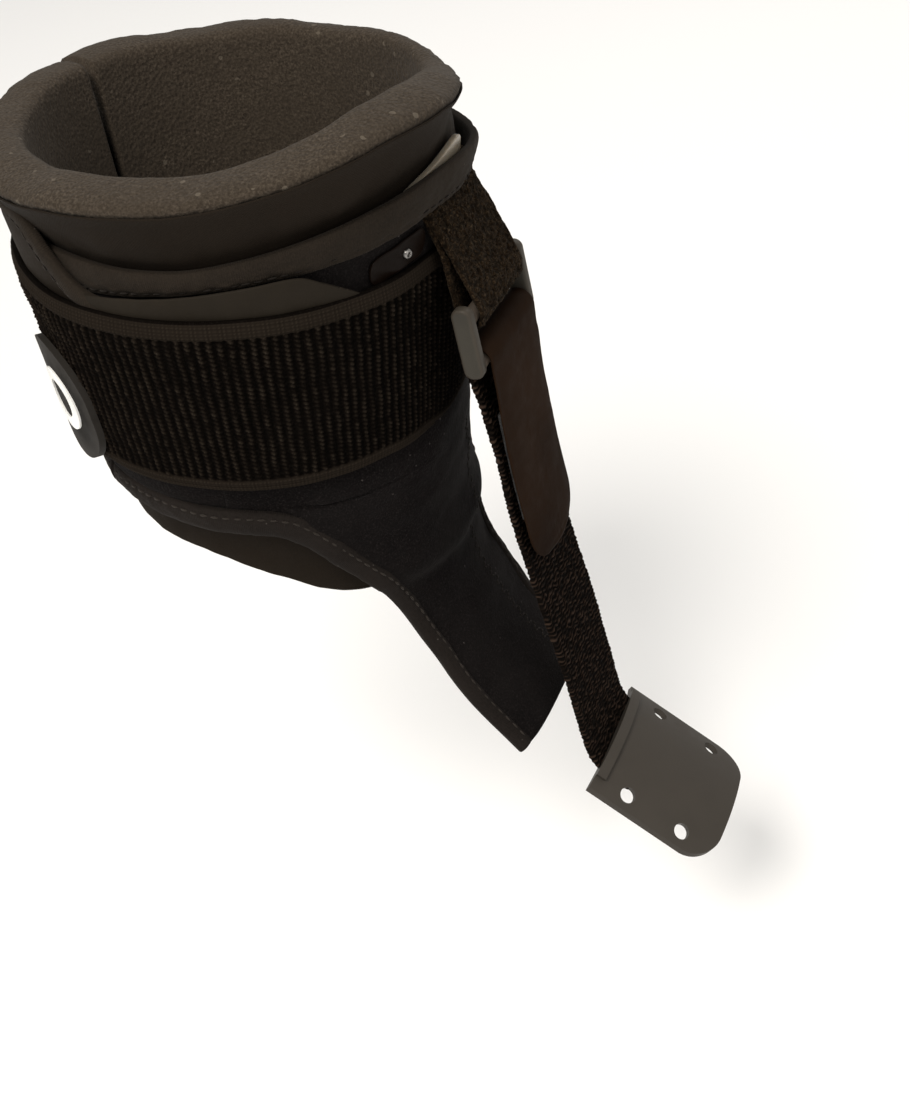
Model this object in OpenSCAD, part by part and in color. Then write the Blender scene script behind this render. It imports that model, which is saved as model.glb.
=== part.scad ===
// Soft ankle foot orthosis for a dropped foot: a padded cuff worn round the
// lower leg, a ring hung from its front, and an elastic strap that runs from
// the ring down to a plate held under the shoe laces.
// +X points to the toes, +Y to the inner side of a right leg, +Z up the leg.
// The origin is on the leg's axis at the height of the ankle joint.

/* [Leg] */
// Radius of the leg at ankle height, taken along the cone of the lower leg
leg_r = 36.3; // [33:0.1:40]
// Growth of that radius for each millimetre of height
leg_taper = 0.095; // [0.08:0.005:0.11]

/* [Liner] */
// Height of the flared rim's top
rim_z = 177; // [174:0.5:182]
// Forward tilt of the rim
rim_tilt = 5; // [0:0.5:6]
// Thickness of the foam under the cuff
foam_t = 4.0; // [3:0.1:4]
// How far the rim flares beyond the leg
rim_flare = 14; // [10:0.5:16]
// Width of the liner's slit at the back of the leg
slit_w = 3; // [2:0.5:6]

/* [Cuff] */
// Top of the velour shell on the outer side
shell_top = 147; // [145:0.5:149]
// Bottom of the velour shell
shell_bottom = 79; // [76:0.5:82]
// Thickness of the velour shell
shell_t = 2.0; // [1.6:0.1:2]
// Height of the bound top edge
top_binding_h = 8; // [6:0.5:9]
// Height of the bound lower edge
low_binding_h = 7.5; // [5:0.5:8]
// Forward tilt of the cuff's top edge
cuff_tilt = 3.5; // [0:0.5:4]

/* [Closure strap] */
// Bottom of the wide elastic strap
strap_bottom = 89; // [86:0.5:92]
// Width of the wide elastic strap
strap_w = 52; // [44:0.5:52]
// Thickness of the wide elastic strap
strap_t = 1.8; // [1.4:0.1:1.8]
// Angle round the leg at which the strap starts to lift off
strap_hinge_a = -26; // [-30:1:-26]
// Angle round the leg of the strap's free end
strap_end_a = -196; // [-196:1:-180]

/* [Badge] */
// Width of the badge
badge_w = 30; // [24:1:32]
// Height of the badge
badge_h = 36; // [32:1:40]

/* [Ring] */
// Width of the front strap
front_w = 32; // [26:1:34]
// Distance between the ring's two bars
bar_gap = 12; // [11.5:0.1:13]
// Radius of the ring's upper bar
top_bar_r = 2.0; // [1.6:0.1:2]
// Radius of the ring's lower bar
low_bar_r = 2.6; // [2:0.1:2.6]
// Thickness of each side post, along the bars
post_t = 3.2; // [3:0.1:5]
// Running gap between a bar and the webbing round it
bar_play = 0.3; // [0.3:0.05:0.5]

/* [Front strap] */
// Thickness of the crepe elastic
elastic_t = 2.0; // [1.6:0.1:2]
// Thickness of the smooth pull tab
tab_t = 1.6; // [1.2:0.1:1.6]
// Height of the pull tab's rounded end
tab_end_z = 47; // [45:1:60]

/* [Shoe insert] */
// Length of the insert
insert_l = 44; // [36:1:52]
// Width of the insert
insert_w = 46; // [44:1:48]
// Thickness of the insert
insert_t = 2.0; // [1.6:0.1:2.4]
// Slope of the insert below the horizontal
insert_slope = 32; // [25:1:38]
// Radius of the insert's bend across the foot
insert_bend = 60; // [55:1:80]
// Radius of each lace hole
lace_r = 2.5; // [2:0.1:2.6]

/* [Hidden] */
$fn = 96;

// Offsets of the layers from the leg, from the inside out
face_i = foam_t;
face_o = foam_t + 0.5;
plate_i = 4.6;
plate_o = 6.1;
shell_i = 6.2;
shell_o = shell_i + shell_t;
pad_i = 8.5;
pad_o = 9.0;
flap_i = 9.0;
flap_o = 10.4;
tab_o = 11.3;
strap_i = 11.6;
strap_o = strap_i + strap_t;
base_i = 8.5;
base_o = base_i + strap_t;
badge_o = strap_o + 1.8;

// Ring: centre of the upper bar, tilt, and centre of the lower bar, in X and Z
ring_tilt = 9;
bar_a = [67, 124.5];
bar_b = bar_a + bar_gap * [sin(ring_tilt), -cos(ring_tilt)];
loop_t = 1.8;
anchor_w = front_w - 2;
post_y = front_w / 2 + 0.8;
// How far the posts stand above the upper bar
post_rise = 2.2;

// Middle lines, in X and Z, of the pieces made from flat webbing
anchor_front = [[70.2, 124.5], [67.8, 133], [64.2, 142], [61.3, 147.4]];
anchor_back = [[63.8, 124.5], [63.0, 131], [61.6, 140], [60.6, 147.4]];
elastic_line = [[bar_b[0] - low_bar_r - bar_play - 1.1, bar_b[1] - 0.5],
    [65.9, 108.5], [68.4, 101], [71.3, 89], [72.9, 81], [75.9, 62.5],
    [79.2, 48.8], [83.3, 32.5], [87.5, 16.8], [90.9, 2.4], [95.4, -17.5]];
tab_line = [[73.9, 103.6], [74.7, 95], [76.3, 83], [78.7, 69.2],
    [81.3, 56], [82.9, tab_end_z + 2]];
hook_line = [[73.1, 96], [74.7, 84.5], [76.7, 72.5], [78.6, 62.6]];
tongue_line = [[54.9, 30.5], [56.5, 24], [60, 16], [65, 8], [71, 0],
    [77, -7], [83, -13]];
foot_line = [[95.5, -18], [97.7, -22.6]];
insert_p = [98.4, -24.6];

// Radius of the leg at a height
function leg(z) = leg_r + leg_taper * z;
// Unit normal of a line of points at one of them
function nrm(p, i) = let (a = p[max(i - 1, 0)], b = p[min(i + 1, len(p) - 1)],
    d = b - a) [-d[1], d[0]] / norm(d);
// Outline of a ribbon of a thickness along a line of points
function ribbon(p, t) = concat(
    [for (i = [0 : len(p) - 1]) p[i] + nrm(p, i) * t / 2],
    [for (i = [len(p) - 1 : -1 : 0]) p[i] - nrm(p, i) * t / 2]);
// Parts of a line of points, cut off below a height
function above(p, z) = [for (q = p) if (q[1] > z) q];

// A band on the leg's cone between two offsets, heights and angles
module band(o1, o2, z1, z2, a1, a2)
    rotate_extrude(angle = a2 - a1, start = a1)
        polygon([[leg(z1) + o1, z1], [leg(z1) + o2, z1],
                 [leg(z2) + o2, z2], [leg(z2) + o1, z2]]);

// The space under a plane that rises towards the toes
module below(z, tilt)
    translate([0, 0, z]) rotate([0, -tilt, 0])
        translate([-150, -150, -200]) cube([300, 300, 200]);

// The space between two such planes
module between(z1, z2, tilt)
    translate([0, 0, z1]) rotate([0, -tilt, 0])
        translate([-150, -150, 0]) cube([300, 300, z2 - z1]);

// An outline in X and Z given a width along Y
module across(w, y0 = 0)
    translate([0, y0 + w / 2, 0]) rotate([90, 0, 0]) linear_extrude(w)
        children();

// An outline in Y and Z given a depth along X
module forward(x0, x1)
    translate([x0, 0, 0]) rotate([90, 0, 90]) linear_extrude(x1 - x0)
        children();

// A round shape in the plane X Z, turned about a bar along Y
module round_bar(p, r, w)
    translate([p[0], 0, p[1]]) rotate([90, 0, 0])
        cylinder(r = r, h = w, center = true);

// Half of the webbing loop round a bar
module half_loop(p, r1, r2, w, start)
    translate([p[0], w / 2, p[1]]) rotate([90, 0, 0])
        rotate_extrude(angle = 180, start = start)
            translate([r1, 0]) square([r2 - r1, w]);

// A solid placed on the leg at an angle, its Z pointing outwards
module on_leg(a, z, off)
    rotate([0, 0, a]) translate([leg(z) + off, 0, z])
        rotate([0, 90 - atan(leg_taper), 0]) children();

// The slit at the back of the leg
module slit(a, w)
    rotate([0, 0, a]) translate([20, -w / 2, 0]) cube([80, w, 220]);

module foam_liner() {
    color([0.26, 0.23, 0.20])
    difference() {
        union() {
            band(0, foam_t, 71, 158, 0, 360);
            // The flared rim
            translate([0, 0, 160]) rotate([0, -rim_tilt, 0])
                translate([0, 0, -160])
                rotate_extrude()
                    polygon([[leg(154), 154], [leg(154) + foam_t - 0.4, 154],
                        [leg(162) + 6, 162],
                        [leg(167) + rim_flare - 3.5, rim_z - 10],
                        [leg(168) + rim_flare - 0.8, rim_z - 8],
                        [leg(172) + rim_flare, rim_z - 4],
                        [leg(175) + rim_flare - 2.2, rim_z - 0.8],
                        [leg(176) + rim_flare - 5, rim_z],
                        [leg(176) + 1.5, rim_z],
                        [leg(175), rim_z - 1.5]]);
        }
        slit(165, slit_w);
    }
}

module liner_facing() {
    color([0.12, 0.10, 0.09])
    difference() {
        intersection() {
            band(face_i, face_o, 71, 168, 0, 360);
            below(153.8, rim_tilt);
        }
        slit(165, slit_w);
    }
}

module lower_liner() {
    color([0.16, 0.14, 0.14])
    difference() {
        intersection() {
            band(0, face_o, 32, 71, 0, 360);
            across(200) polygon([[-70, 60], [-17, 59], [-4, 57.5], [7, 54],
                [17, 48], [24, 43], [32, 38.5], [42, 35], [70, 33], [70, 80],
                [-70, 80]]);
        }
        slit(165, slit_w);
    }
}

module anterior_plate() {
    color([0.75, 0.73, 0.68])
    intersection() {
        band(plate_i, plate_o, 84, 168, -35, 50);
        below(158.5, cuff_tilt);
    }
}

module cuff_shell() {
    color([0.10, 0.09, 0.09])
    difference() {
        intersection() {
            band(shell_i, shell_o, shell_bottom, 160, 0, 360);
            below(shell_top, cuff_tilt);
        }
        slit(-128, 2);
    }
}

module top_binding() {
    color([0.17, 0.15, 0.13])
    difference() {
        intersection() {
            band(plate_o + 0.1, shell_o + 1.6, 130, 172, 0, 360);
            between(shell_top, shell_top + top_binding_h, cuff_tilt);
        }
        slit(-128, 2);
    }
}

module lower_binding() {
    color([0.13, 0.12, 0.12])
    difference() {
        band(face_o + 0.1, shell_o + 1.2, shell_bottom - low_binding_h,
            shell_bottom, 71, 289);
        slit(-128, 2);
    }
}

module front_panel() {
    color([0.09, 0.08, 0.08])
    intersection() {
        difference() {
            cylinder(r = 56, h = 87);
            translate([0, 0, -1]) cylinder(r = 53, h = 89);
        }
        forward(20, 70) polygon([[-47, 80], [-43, 87], [43, 87], [47, 80],
            [41, 66], [34, 54], [27, 42], [24, 34.5], [-24, 34.5],
            [-27, 42], [-34, 54], [-41, 66]]);
    }
}

module front_panel_binding() {
    color([0.14, 0.12, 0.12])
    for (s = [-1, 1])
    intersection() {
        difference() {
            cylinder(r = 56.5, h = 80);
            translate([0, 0, -1]) cylinder(r = 52.5, h = 82);
        }
        forward(5, 70) polygon([[s * 47.1, 79.8], [s * 49.5, 76],
            [s * 45.5, 62], [s * 38.5, 50], [s * 31.5, 38.5],
            [s * 29.5, 34.5], [s * 24.1, 34.5], [s * 27.1, 42],
            [s * 34.1, 54], [s * 41.1, 66]]);
    }
}

module anchor_base() {
    color([0.13, 0.11, 0.09])
    band(shell_o, shell_o + 1.1, 141.8, 146, -15, 15);
}

module anchor_strap() {
    color([0.14, 0.12, 0.08])
    union() {
        across(anchor_w) polygon(ribbon(anchor_front, loop_t));
        across(anchor_w) polygon(ribbon(anchor_back, loop_t));
        half_loop(bar_a, top_bar_r + bar_play, top_bar_r + bar_play + loop_t,
            anchor_w, 180);
    }
}

module rivet_plate() {
    color([0.08, 0.07, 0.07])
    for (m = [0, 1]) mirror([0, m, 0])
        band(shell_o, shell_o + 0.8, 141.6, 146.6, -30, -17);
}

module rivets() {
    color([0.62, 0.60, 0.57])
    for (s = [-1, 1])
        on_leg(s * 22, 144.2, shell_o + 0.8)
            difference() {
                cylinder(r = 2.0, h = 1.0);
                translate([0, 0, 0.6]) cylinder(r = 0.8, h = 1);
            }
}

module wide_strap_base() {
    color([0.09, 0.07, 0.05])
    band(base_i, base_o, strap_bottom, strap_bottom + strap_w,
        strap_hinge_a + 1.6, 95);
}

module strap_base_patch() {
    color([0.14, 0.12, 0.11])
    band(base_o, base_o + 1, strap_bottom + 4, strap_bottom + strap_w - 4,
        79, 94);
}

module closure_flap() {
    color([0.10, 0.09, 0.09])
    intersection() {
        band(flap_i, flap_o, 87.4, 155, -149, -45);
        below(142.5, cuff_tilt);
    }
}

module flap_binding() {
    color([0.16, 0.14, 0.13])
    intersection() {
        band(pad_i, flap_o + 0.5, 130, 160, -149, -45);
        between(142.5, 145.7, cuff_tilt);
    }
}

module flap_hook_tab() {
    color([0.18, 0.16, 0.15])
    intersection() {
        band(flap_o, tab_o, 110, 155, -108, -47);
        below(142.4, cuff_tilt);
    }
}

module flap_hook_pad() {
    color([0.05, 0.05, 0.05])
    band(pad_i, pad_o, 96, 136, -72, -48);
}

module wide_strap() {
    color([0.09, 0.07, 0.05])
    band(strap_i, strap_o, strap_bottom, strap_bottom + strap_w,
        strap_end_a, strap_hinge_a);
}

module strap_end_grip() {
    color([0.15, 0.13, 0.12])
    band(strap_i - 0.2, strap_o + 0.5, strap_bottom + 1,
        strap_bottom + strap_w - 1, strap_end_a - 6, strap_end_a);
}

module strap_hook_patch() {
    color([0.05, 0.05, 0.05])
    band(strap_i - 1.2, strap_i, strap_bottom + 4,
        strap_bottom + strap_w - 4, strap_end_a + 1, strap_end_a + 22);
}

// An upright oval, as a solid along Z
module oval(w, h, t) {
    d = h / 2 - w / 2;
    union() {
        for (s = [-1, 1]) translate([s * d, 0, 0]) cylinder(r = w / 2, h = t);
        translate([-d, -w / 2, 0]) cube([2 * d, w, t]);
    }
}

module badge() {
    color([0.22, 0.21, 0.20])
    intersection() {
        band(strap_o, badge_o, 80, 130, -150, -100);
        on_leg(-126, 104, 0) translate([0, 0, -4]) oval(badge_w, badge_h, 30);
    }
}

module badge_mark() {
    color([0.92, 0.92, 0.90])
    intersection() {
        band(badge_o, badge_o + 0.5, 80, 130, -150, -100);
        on_leg(-126, 104, 0) difference() {
            cylinder(r = 9, h = 30);
            translate([0, 0, -1]) cylinder(r = 5.5, h = 32);
        }
    }
}

module tongue_pad() {
    color([0.07, 0.06, 0.06])
    across(46) polygon(ribbon(tongue_line, 3));
}

module tongue_binding() {
    color([0.14, 0.12, 0.12])
    for (s = [-1, 1]) across(4, s * 25.05) polygon(ribbon(tongue_line, 3.6));
}

module ring_buckle() {
    color([0.27, 0.26, 0.24])
    union() {
        round_bar(bar_a, top_bar_r, 2 * post_y + 1);
        round_bar(bar_b, low_bar_r, 2 * post_y + 1);
        for (s = [-1, 1])
            translate([bar_a[0], s * (post_y + post_t / 2), bar_a[1]])
                rotate([0, -ring_tilt, 0]) {
                    translate([0, 0, post_rise]) rotate([90, 0, 0])
                        cylinder(r = 2.7, h = post_t, center = true);
                    translate([0, 0, -bar_gap]) rotate([90, 0, 0])
                        cylinder(r = 3.0, h = post_t, center = true);
                    translate([-2.7, -post_t / 2, -bar_gap])
                        cube([5.4, post_t, bar_gap + post_rise]);
                }
    }
}

module tab_loop() {
    color([0.16, 0.13, 0.10])
    union() {
        half_loop(bar_b, low_bar_r + bar_play,
            low_bar_r + bar_play + loop_t + 0.2, front_w, 0);
        across(front_w) polygon([
            [bar_b[0] + low_bar_r + bar_play, bar_b[1]],
            [bar_b[0] + low_bar_r + bar_play + loop_t + 0.2, bar_b[1]],
            [74.5, 105.2], [72.4, 105.2]]);
    }
}

module elastic_strap() {
    color([0.10, 0.08, 0.06])
    across(front_w) polygon(ribbon(elastic_line, elastic_t));
}

module pull_tab() {
    color([0.15, 0.12, 0.10])
    intersection() {
        across(front_w) polygon(ribbon(tab_line, tab_t));
        // The rounded lower end
        forward(60, 100) union() {
            translate([-front_w / 2, tab_end_z + 9])
                square([front_w, 70]);
            translate([-front_w / 2 + 9, tab_end_z])
                square([front_w - 18, 10]);
            for (s = [-1, 1])
                translate([s * (front_w / 2 - 9), tab_end_z + 9])
                    circle(r = 9);
        }
    }
}

module tab_hook_pad() {
    color([0.04, 0.04, 0.04])
    across(front_w - 4) polygon(ribbon(hook_line, 0.8));
}

module strap_foot() {
    color([0.12, 0.10, 0.09])
    across(front_w) polygon(ribbon(foot_line, 2.4));
}

// The insert's own axes: X down its slope, Z out of the foot
module in_insert()
    translate([insert_p[0], 0, insert_p[1]]) rotate([0, insert_slope, 0])
        children();

// A sheet bent across the foot, between two radii of that bend
module bent(r1, r2, x1, x2, half_a)
    translate([0, 0, -insert_bend]) rotate([0, 90, 0])
        rotate_extrude(angle = 2 * half_a, start = 180 - half_a)
            translate([r1, x1]) square([r2 - r1, x2 - x1]);

// Angle across the bend and place along the slope of the lace holes
lace_a = 17.5;
lace_x = [14, 34];

module shoe_insert() {
    color([0.25, 0.23, 0.20])
    in_insert() difference() {
        intersection() {
            bent(insert_bend - insert_t / 2, insert_bend + insert_t / 2,
                2.2, 2.2 + insert_l, 26);
            // The outline, with its toe end rounded
            translate([0, 0, -30]) union() {
                translate([0, -insert_w / 2, 0])
                    cube([insert_l - 7, insert_w, 60]);
                translate([insert_l - 10, -insert_w / 2 + 10, 0])
                    cube([12.2, insert_w - 20, 60]);
                for (s = [-1, 1])
                    translate([insert_l - 7.8, s * (insert_w / 2 - 10), 0])
                        cylinder(r = 10, h = 60);
            }
        }
        for (s = [-1, 1]) for (x = lace_x)
            translate([x, 0, -insert_bend]) rotate([-s * lace_a, 0, 0])
                translate([0, 0, insert_bend - 6])
                    cylinder(r = lace_r, h = 12);
    }
}

module insert_lip() {
    color([0.22, 0.20, 0.18])
    in_insert() bent(insert_bend + insert_t / 2,
        insert_bend + insert_t / 2 + 1.4, 2.2, 5.4, 18);
}

foam_liner();
liner_facing();
lower_liner();
anterior_plate();
cuff_shell();
top_binding();
lower_binding();
front_panel();
front_panel_binding();
anchor_base();
anchor_strap();
rivet_plate();
rivets();
wide_strap_base();
strap_base_patch();
closure_flap();
flap_binding();
flap_hook_tab();
flap_hook_pad();
wide_strap();
strap_end_grip();
strap_hook_patch();
badge();
badge_mark();
tongue_pad();
tongue_binding();
ring_buckle();
tab_loop();
elastic_strap();
pull_tab();
tab_hook_pad();
strap_foot();
shoe_insert();
insert_lip();
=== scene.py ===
"""Soft ankle foot orthosis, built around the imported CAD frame."""
import math

import bmesh
import bpy
import numpy as np
from mathutils.bvhtree import BVHTree
from mathutils import Matrix, Vector


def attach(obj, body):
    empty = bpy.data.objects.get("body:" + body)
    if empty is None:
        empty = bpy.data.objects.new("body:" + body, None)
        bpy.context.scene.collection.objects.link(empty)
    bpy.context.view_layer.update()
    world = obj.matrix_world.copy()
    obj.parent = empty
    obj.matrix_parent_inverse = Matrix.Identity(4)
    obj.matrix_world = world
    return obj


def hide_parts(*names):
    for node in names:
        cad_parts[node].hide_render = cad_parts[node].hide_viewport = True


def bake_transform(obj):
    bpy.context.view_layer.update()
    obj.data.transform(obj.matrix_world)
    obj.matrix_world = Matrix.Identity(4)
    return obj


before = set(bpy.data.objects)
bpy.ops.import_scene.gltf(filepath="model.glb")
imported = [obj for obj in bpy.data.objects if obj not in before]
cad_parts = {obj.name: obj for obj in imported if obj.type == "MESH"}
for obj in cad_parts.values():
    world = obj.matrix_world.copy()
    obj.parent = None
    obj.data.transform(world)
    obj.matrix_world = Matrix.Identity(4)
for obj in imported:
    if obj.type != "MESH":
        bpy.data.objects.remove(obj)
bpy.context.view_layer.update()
MM = 0.001
rng = np.random.default_rng(7)

# ---------------------------------------------------------------- camera
cam_data = bpy.data.cameras.new("camera")
cam_data.sensor_fit = "AUTO"
cam_data.sensor_width = 36.0
cam_data.lens = 1547.83 / 1118 * 36.0
cam_data.clip_start = 0.01
cam_data.clip_end = 20
cam = bpy.data.objects.new("camera", cam_data)
bpy.context.scene.collection.objects.link(cam)
right = Vector((0.9296961, 0.36154505, -0.07035861)).normalized()
up = Vector((-0.17618491, 0.6042705, 0.777056)).normalized()
back = right.cross(up).normalized()
up = back.cross(right)
cam.matrix_world = Matrix((
    (right.x, up.x, back.x, 0.20018), (right.y, up.y, back.y, -0.32890),
    (right.z, up.z, back.z, 0.32113), (0, 0, 0, 1)))
bpy.context.scene.camera = cam
bpy.context.scene.view_settings.view_transform = "Standard"


# ---------------------------------------------------------------- numbers
def smooth(a, b, x):
    t = np.clip((np.asarray(x, float) - a) / (b - a), 0, 1)
    return t * t * (3 - 2 * t)


def spline(xs, ys):
    """A smooth monotone-ish curve through points, as a function."""
    xs, ys = np.asarray(xs, float), np.asarray(ys, float)
    d = np.diff(ys) / np.diff(xs)
    m = np.zeros_like(ys)
    m[0], m[-1] = d[0], d[-1]
    for i in range(1, len(xs) - 1):
        if d[i - 1] * d[i] > 0:
            m[i] = 2 / (1 / d[i - 1] + 1 / d[i])

    def f(x):
        x = np.clip(np.asarray(x, float), xs[0], xs[-1])
        i = np.clip(np.searchsorted(xs, x) - 1, 0, len(xs) - 2)
        h = xs[i + 1] - xs[i]
        t = (x - xs[i]) / h
        return ((1 + 2 * t) * (1 - t) ** 2 * ys[i] + t * (1 - t) ** 2 * h * m[i]
                + t * t * (3 - 2 * t) * ys[i + 1] + t * t * (t - 1) * h * m[i + 1])
    return f


_lat = {}


def vnoise(p, freq, seed=0):
    """Smooth value noise in -1..1 at points p (n,3)."""
    if seed not in _lat:
        _lat[seed] = np.random.default_rng(seed + 11).uniform(-1, 1, (32, 32, 32))
    L = _lat[seed]
    q = np.asarray(p, float) * freq
    i = np.floor(q).astype(int)
    f = q - i
    f = f * f * f * (f * (f * 6 - 15) + 10)
    out = 0
    for dx in (0, 1):
        for dy in (0, 1):
            for dz in (0, 1):
                w = ((f[..., 0] if dx else 1 - f[..., 0])
                     * (f[..., 1] if dy else 1 - f[..., 1])
                     * (f[..., 2] if dz else 1 - f[..., 2]))
                out = out + w * L[(i[..., 0] + dx) % 32, (i[..., 1] + dy) % 32,
                                  (i[..., 2] + dz) % 32]
    return out


def fbm(p, freq, octaves=3, seed=0):
    return sum(vnoise(p, freq * 2 ** k, seed + k) * 0.5 ** k for k in range(octaves))


def S(z):
    """Leg radius at height z, mm."""
    return 36.3 + 0.095 * np.asarray(z, float)


def leg_point(theta_deg, z, off):
    """Points in mm from angle, height and offset."""
    t = np.radians(theta_deg)
    r = S(z) + off
    return np.stack([r * np.cos(t), r * np.sin(t), z + 0 * r], -1)


def resample(line, step, per=16):
    """A Catmull-Rom curve through the points, resampled at an even step."""
    p = np.asarray(line, float)
    ext = np.vstack([2 * p[0] - p[1], p, 2 * p[-1] - p[-2]])
    out = []
    for i in range(1, len(ext) - 2):
        a, b, c, d = ext[i - 1], ext[i], ext[i + 1], ext[i + 2]
        t = np.linspace(0, 1, per, endpoint=False)[:, None]
        out.append(0.5 * ((2 * b) + (-a + c) * t + (2 * a - 5 * b + 4 * c - d) * t ** 2
                          + (-a + 3 * b - 3 * c + d) * t ** 3))
    out = np.vstack(out + [p[-1:]])
    s = np.concatenate([[0], np.cumsum(np.linalg.norm(np.diff(out, axis=0), axis=1))])
    n = max(3, int(round(s[-1] / step)) + 1)
    u = np.linspace(0, s[-1], n)
    return np.stack([np.interp(u, s, out[:, k]) for k in range(p.shape[1])], -1), u


# ---------------------------------------------------------------- meshes
def make(name, verts_mm, faces, puv=None, smooth_shade=True):
    me = bpy.data.meshes.new(name)
    me.from_pydata((np.asarray(verts_mm) * MM).tolist(), [], faces)
    me.update()
    bm = bmesh.new()
    bm.from_mesh(me)
    bmesh.ops.recalc_face_normals(bm, faces=bm.faces)
    bm.to_mesh(me)
    bm.free()
    if puv is not None:
        a = me.attributes.new("puv", "FLOAT_VECTOR", "POINT")
        a.data.foreach_set("vector", np.asarray(puv, np.float32).ravel())
    if smooth_shade:
        me.polygons.foreach_set("use_smooth", [True] * len(me.polygons))
    ob = bpy.data.objects.new(name, me)
    bpy.context.scene.collection.objects.link(ob)
    return ob


def grid_normals(P, closed_v, closed_u=False):
    """Outward-ish normals of a grid (nu, nv, 3); v is the section's way round."""
    def diff(A, axis, closed):
        if closed:
            return np.roll(A, -1, axis) - np.roll(A, 1, axis)
        return np.gradient(A, axis=axis)
    du, dv = diff(P, 0, closed_u), diff(P, 1, closed_v)
    n = np.cross(du, dv)
    return n / np.maximum(np.linalg.norm(n, axis=-1, keepdims=True), 1e-9)


def skin(name, P, puv, closed_u=False, caps=True):
    """A closed surface from a grid of sections: P (nu, nv, 3), v closed."""
    nu, nv = P.shape[:2]
    idx = np.arange(nu * nv).reshape(nu, nv)
    a = idx if closed_u else idx[:-1]
    b = np.roll(idx, -1, 0) if closed_u else idx[1:]
    q = np.stack([a, np.roll(a, -1, 1), np.roll(b, -1, 1), b], -1).reshape(-1, 4)
    faces = q.tolist()
    verts = P.reshape(-1, 3)
    uv = puv.reshape(-1, 3)
    if caps and not closed_u:
        for row, flip in ((idx[0], False), (idx[-1], True)):
            # A cap made of strips between the two halves of the section
            n = len(row)
            lo, hi = 0, n - 1
            while hi - lo > 1:
                if hi - lo == 2:
                    f = [row[lo], row[lo + 1], row[hi]]
                else:
                    f = [row[lo], row[lo + 1], row[hi - 1], row[hi]]
                f = [int(x) for x in f]
                faces.append(f if flip else f[::-1])
                lo, hi = lo + 1, hi - 1
    return make(name, verts, faces, uv)


def rounded_section(w, t, nw, nr=4, r=None):
    """A closed rounded rectangle, width w along b, thickness t along n, centred.
    Returns (b, n, top) with the seam at the middle of one rounded side, so that caps are strips.
    The top side has nw points and so has the bottom."""
    r = min(t / 2, w / 2) * 0.98 if r is None else r
    bs, ns, top = [], [], []
    for k in range(nr):                     # from the left side's middle up to the top
        a = math.pi - (k / nr) * math.pi / 2
        bs.append(-w / 2 + r + r * math.cos(a)); ns.append(t / 2 - r + r * math.sin(a)); top.append(0)
    for x in np.linspace(-w / 2 + r, w / 2 - r, nw):
        bs.append(x); ns.append(t / 2); top.append(1)
    for k in range(1, nr + 1):
        a = math.pi / 2 - (k / nr) * math.pi / 2
        bs.append(w / 2 - r + r * math.cos(a)); ns.append(t / 2 - r + r * math.sin(a)); top.append(0)
    for k in range(1, nr):
        a = -(k / nr) * math.pi / 2
        bs.append(w / 2 - r + r * math.cos(a)); ns.append(-t / 2 + r + r * math.sin(a)); top.append(0)
    for x in np.linspace(w / 2 - r, -w / 2 + r, nw):
        bs.append(x); ns.append(-t / 2); top.append(-1)
    for k in range(1, nr):
        a = -math.pi / 2 - (k / nr) * math.pi / 2
        bs.append(-w / 2 + r + r * math.cos(a)); ns.append(-t / 2 + r + r * math.sin(a)); top.append(0)
    return np.array(bs), np.array(ns), np.array(top)


def sweep(name, C, N, B, sec_b, sec_n, u, disp=None, closed_u=False):
    """Sections (b, n) placed at centres C with width direction B and normal N."""
    sb = np.broadcast_to(sec_b, (len(C), np.shape(sec_b)[-1]))
    sn = np.broadcast_to(sec_n, sb.shape)
    P = C[:, None] + B[:, None] * sb[..., None] + N[:, None] * sn[..., None]
    if disp is not None:
        nn = grid_normals(P, True, closed_u)
        # point them away from the section's centre
        mid = P.mean(1, keepdims=True)
        sgn = np.sign(((P - mid) * nn).sum(-1).mean())
        P = P + nn * sgn * disp(P, u[:, None] + 0 * sb, sb, sn)[..., None]
    puv = np.stack([u[:, None] + 0 * sb, sb, sn], -1)
    return skin(name, P, puv, closed_u)


def xz_frame(line, step):
    """Centres, normals (towards +X side), width direction for a ribbon in the X Z plane."""
    p, u = resample(line, step)
    t = np.gradient(p, axis=0)
    t /= np.linalg.norm(t, axis=1, keepdims=True)
    C = np.stack([p[:, 0], 0 * p[:, 0], p[:, 1]], -1)
    # running down the strap, outwards (+X) is (-tz, tx)
    N = np.stack([-t[:, 1], 0 * t[:, 0], t[:, 0]], -1)
    B = np.tile([0.0, 1.0, 0.0], (len(C), 1))
    return C, N, B, u


def wrap_frame(theta, z, off):
    """Centres, normals, width direction (up the leg) on the cone along a path of angles (degrees)."""
    C = leg_point(theta, z, off)
    t = np.radians(theta)
    k = 0.095
    B = np.stack([k * np.cos(t), k * np.sin(t), 1 + 0 * t], -1)
    B /= np.linalg.norm(B, axis=1, keepdims=True)
    N = np.stack([np.cos(t), np.sin(t), -k + 0 * t], -1)
    N /= np.linalg.norm(N, axis=1, keepdims=True)
    return C, N, B


def on_cone(name, theta, Z, OFF, step_u=None, closed_u=False, disp=None, R0=57.0):
    """A closed surface from sections in the plane of height and offset: Z, OFF (nu, nv)."""
    T = np.broadcast_to(np.asarray(theta, float)[:, None], Z.shape)
    P = leg_point(T, Z, OFF)
    if disp is not None:
        nn = grid_normals(P, True, closed_u)
        mid = P.mean(1, keepdims=True)
        sgn = np.sign(((P - mid) * nn).sum(-1).mean())
        P = P + nn * sgn * disp(P, T, Z, OFF)[..., None]
    puv = np.stack([np.radians(T) * R0, Z, OFF], -1)
    return skin(name, P, puv, closed_u)


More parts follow.
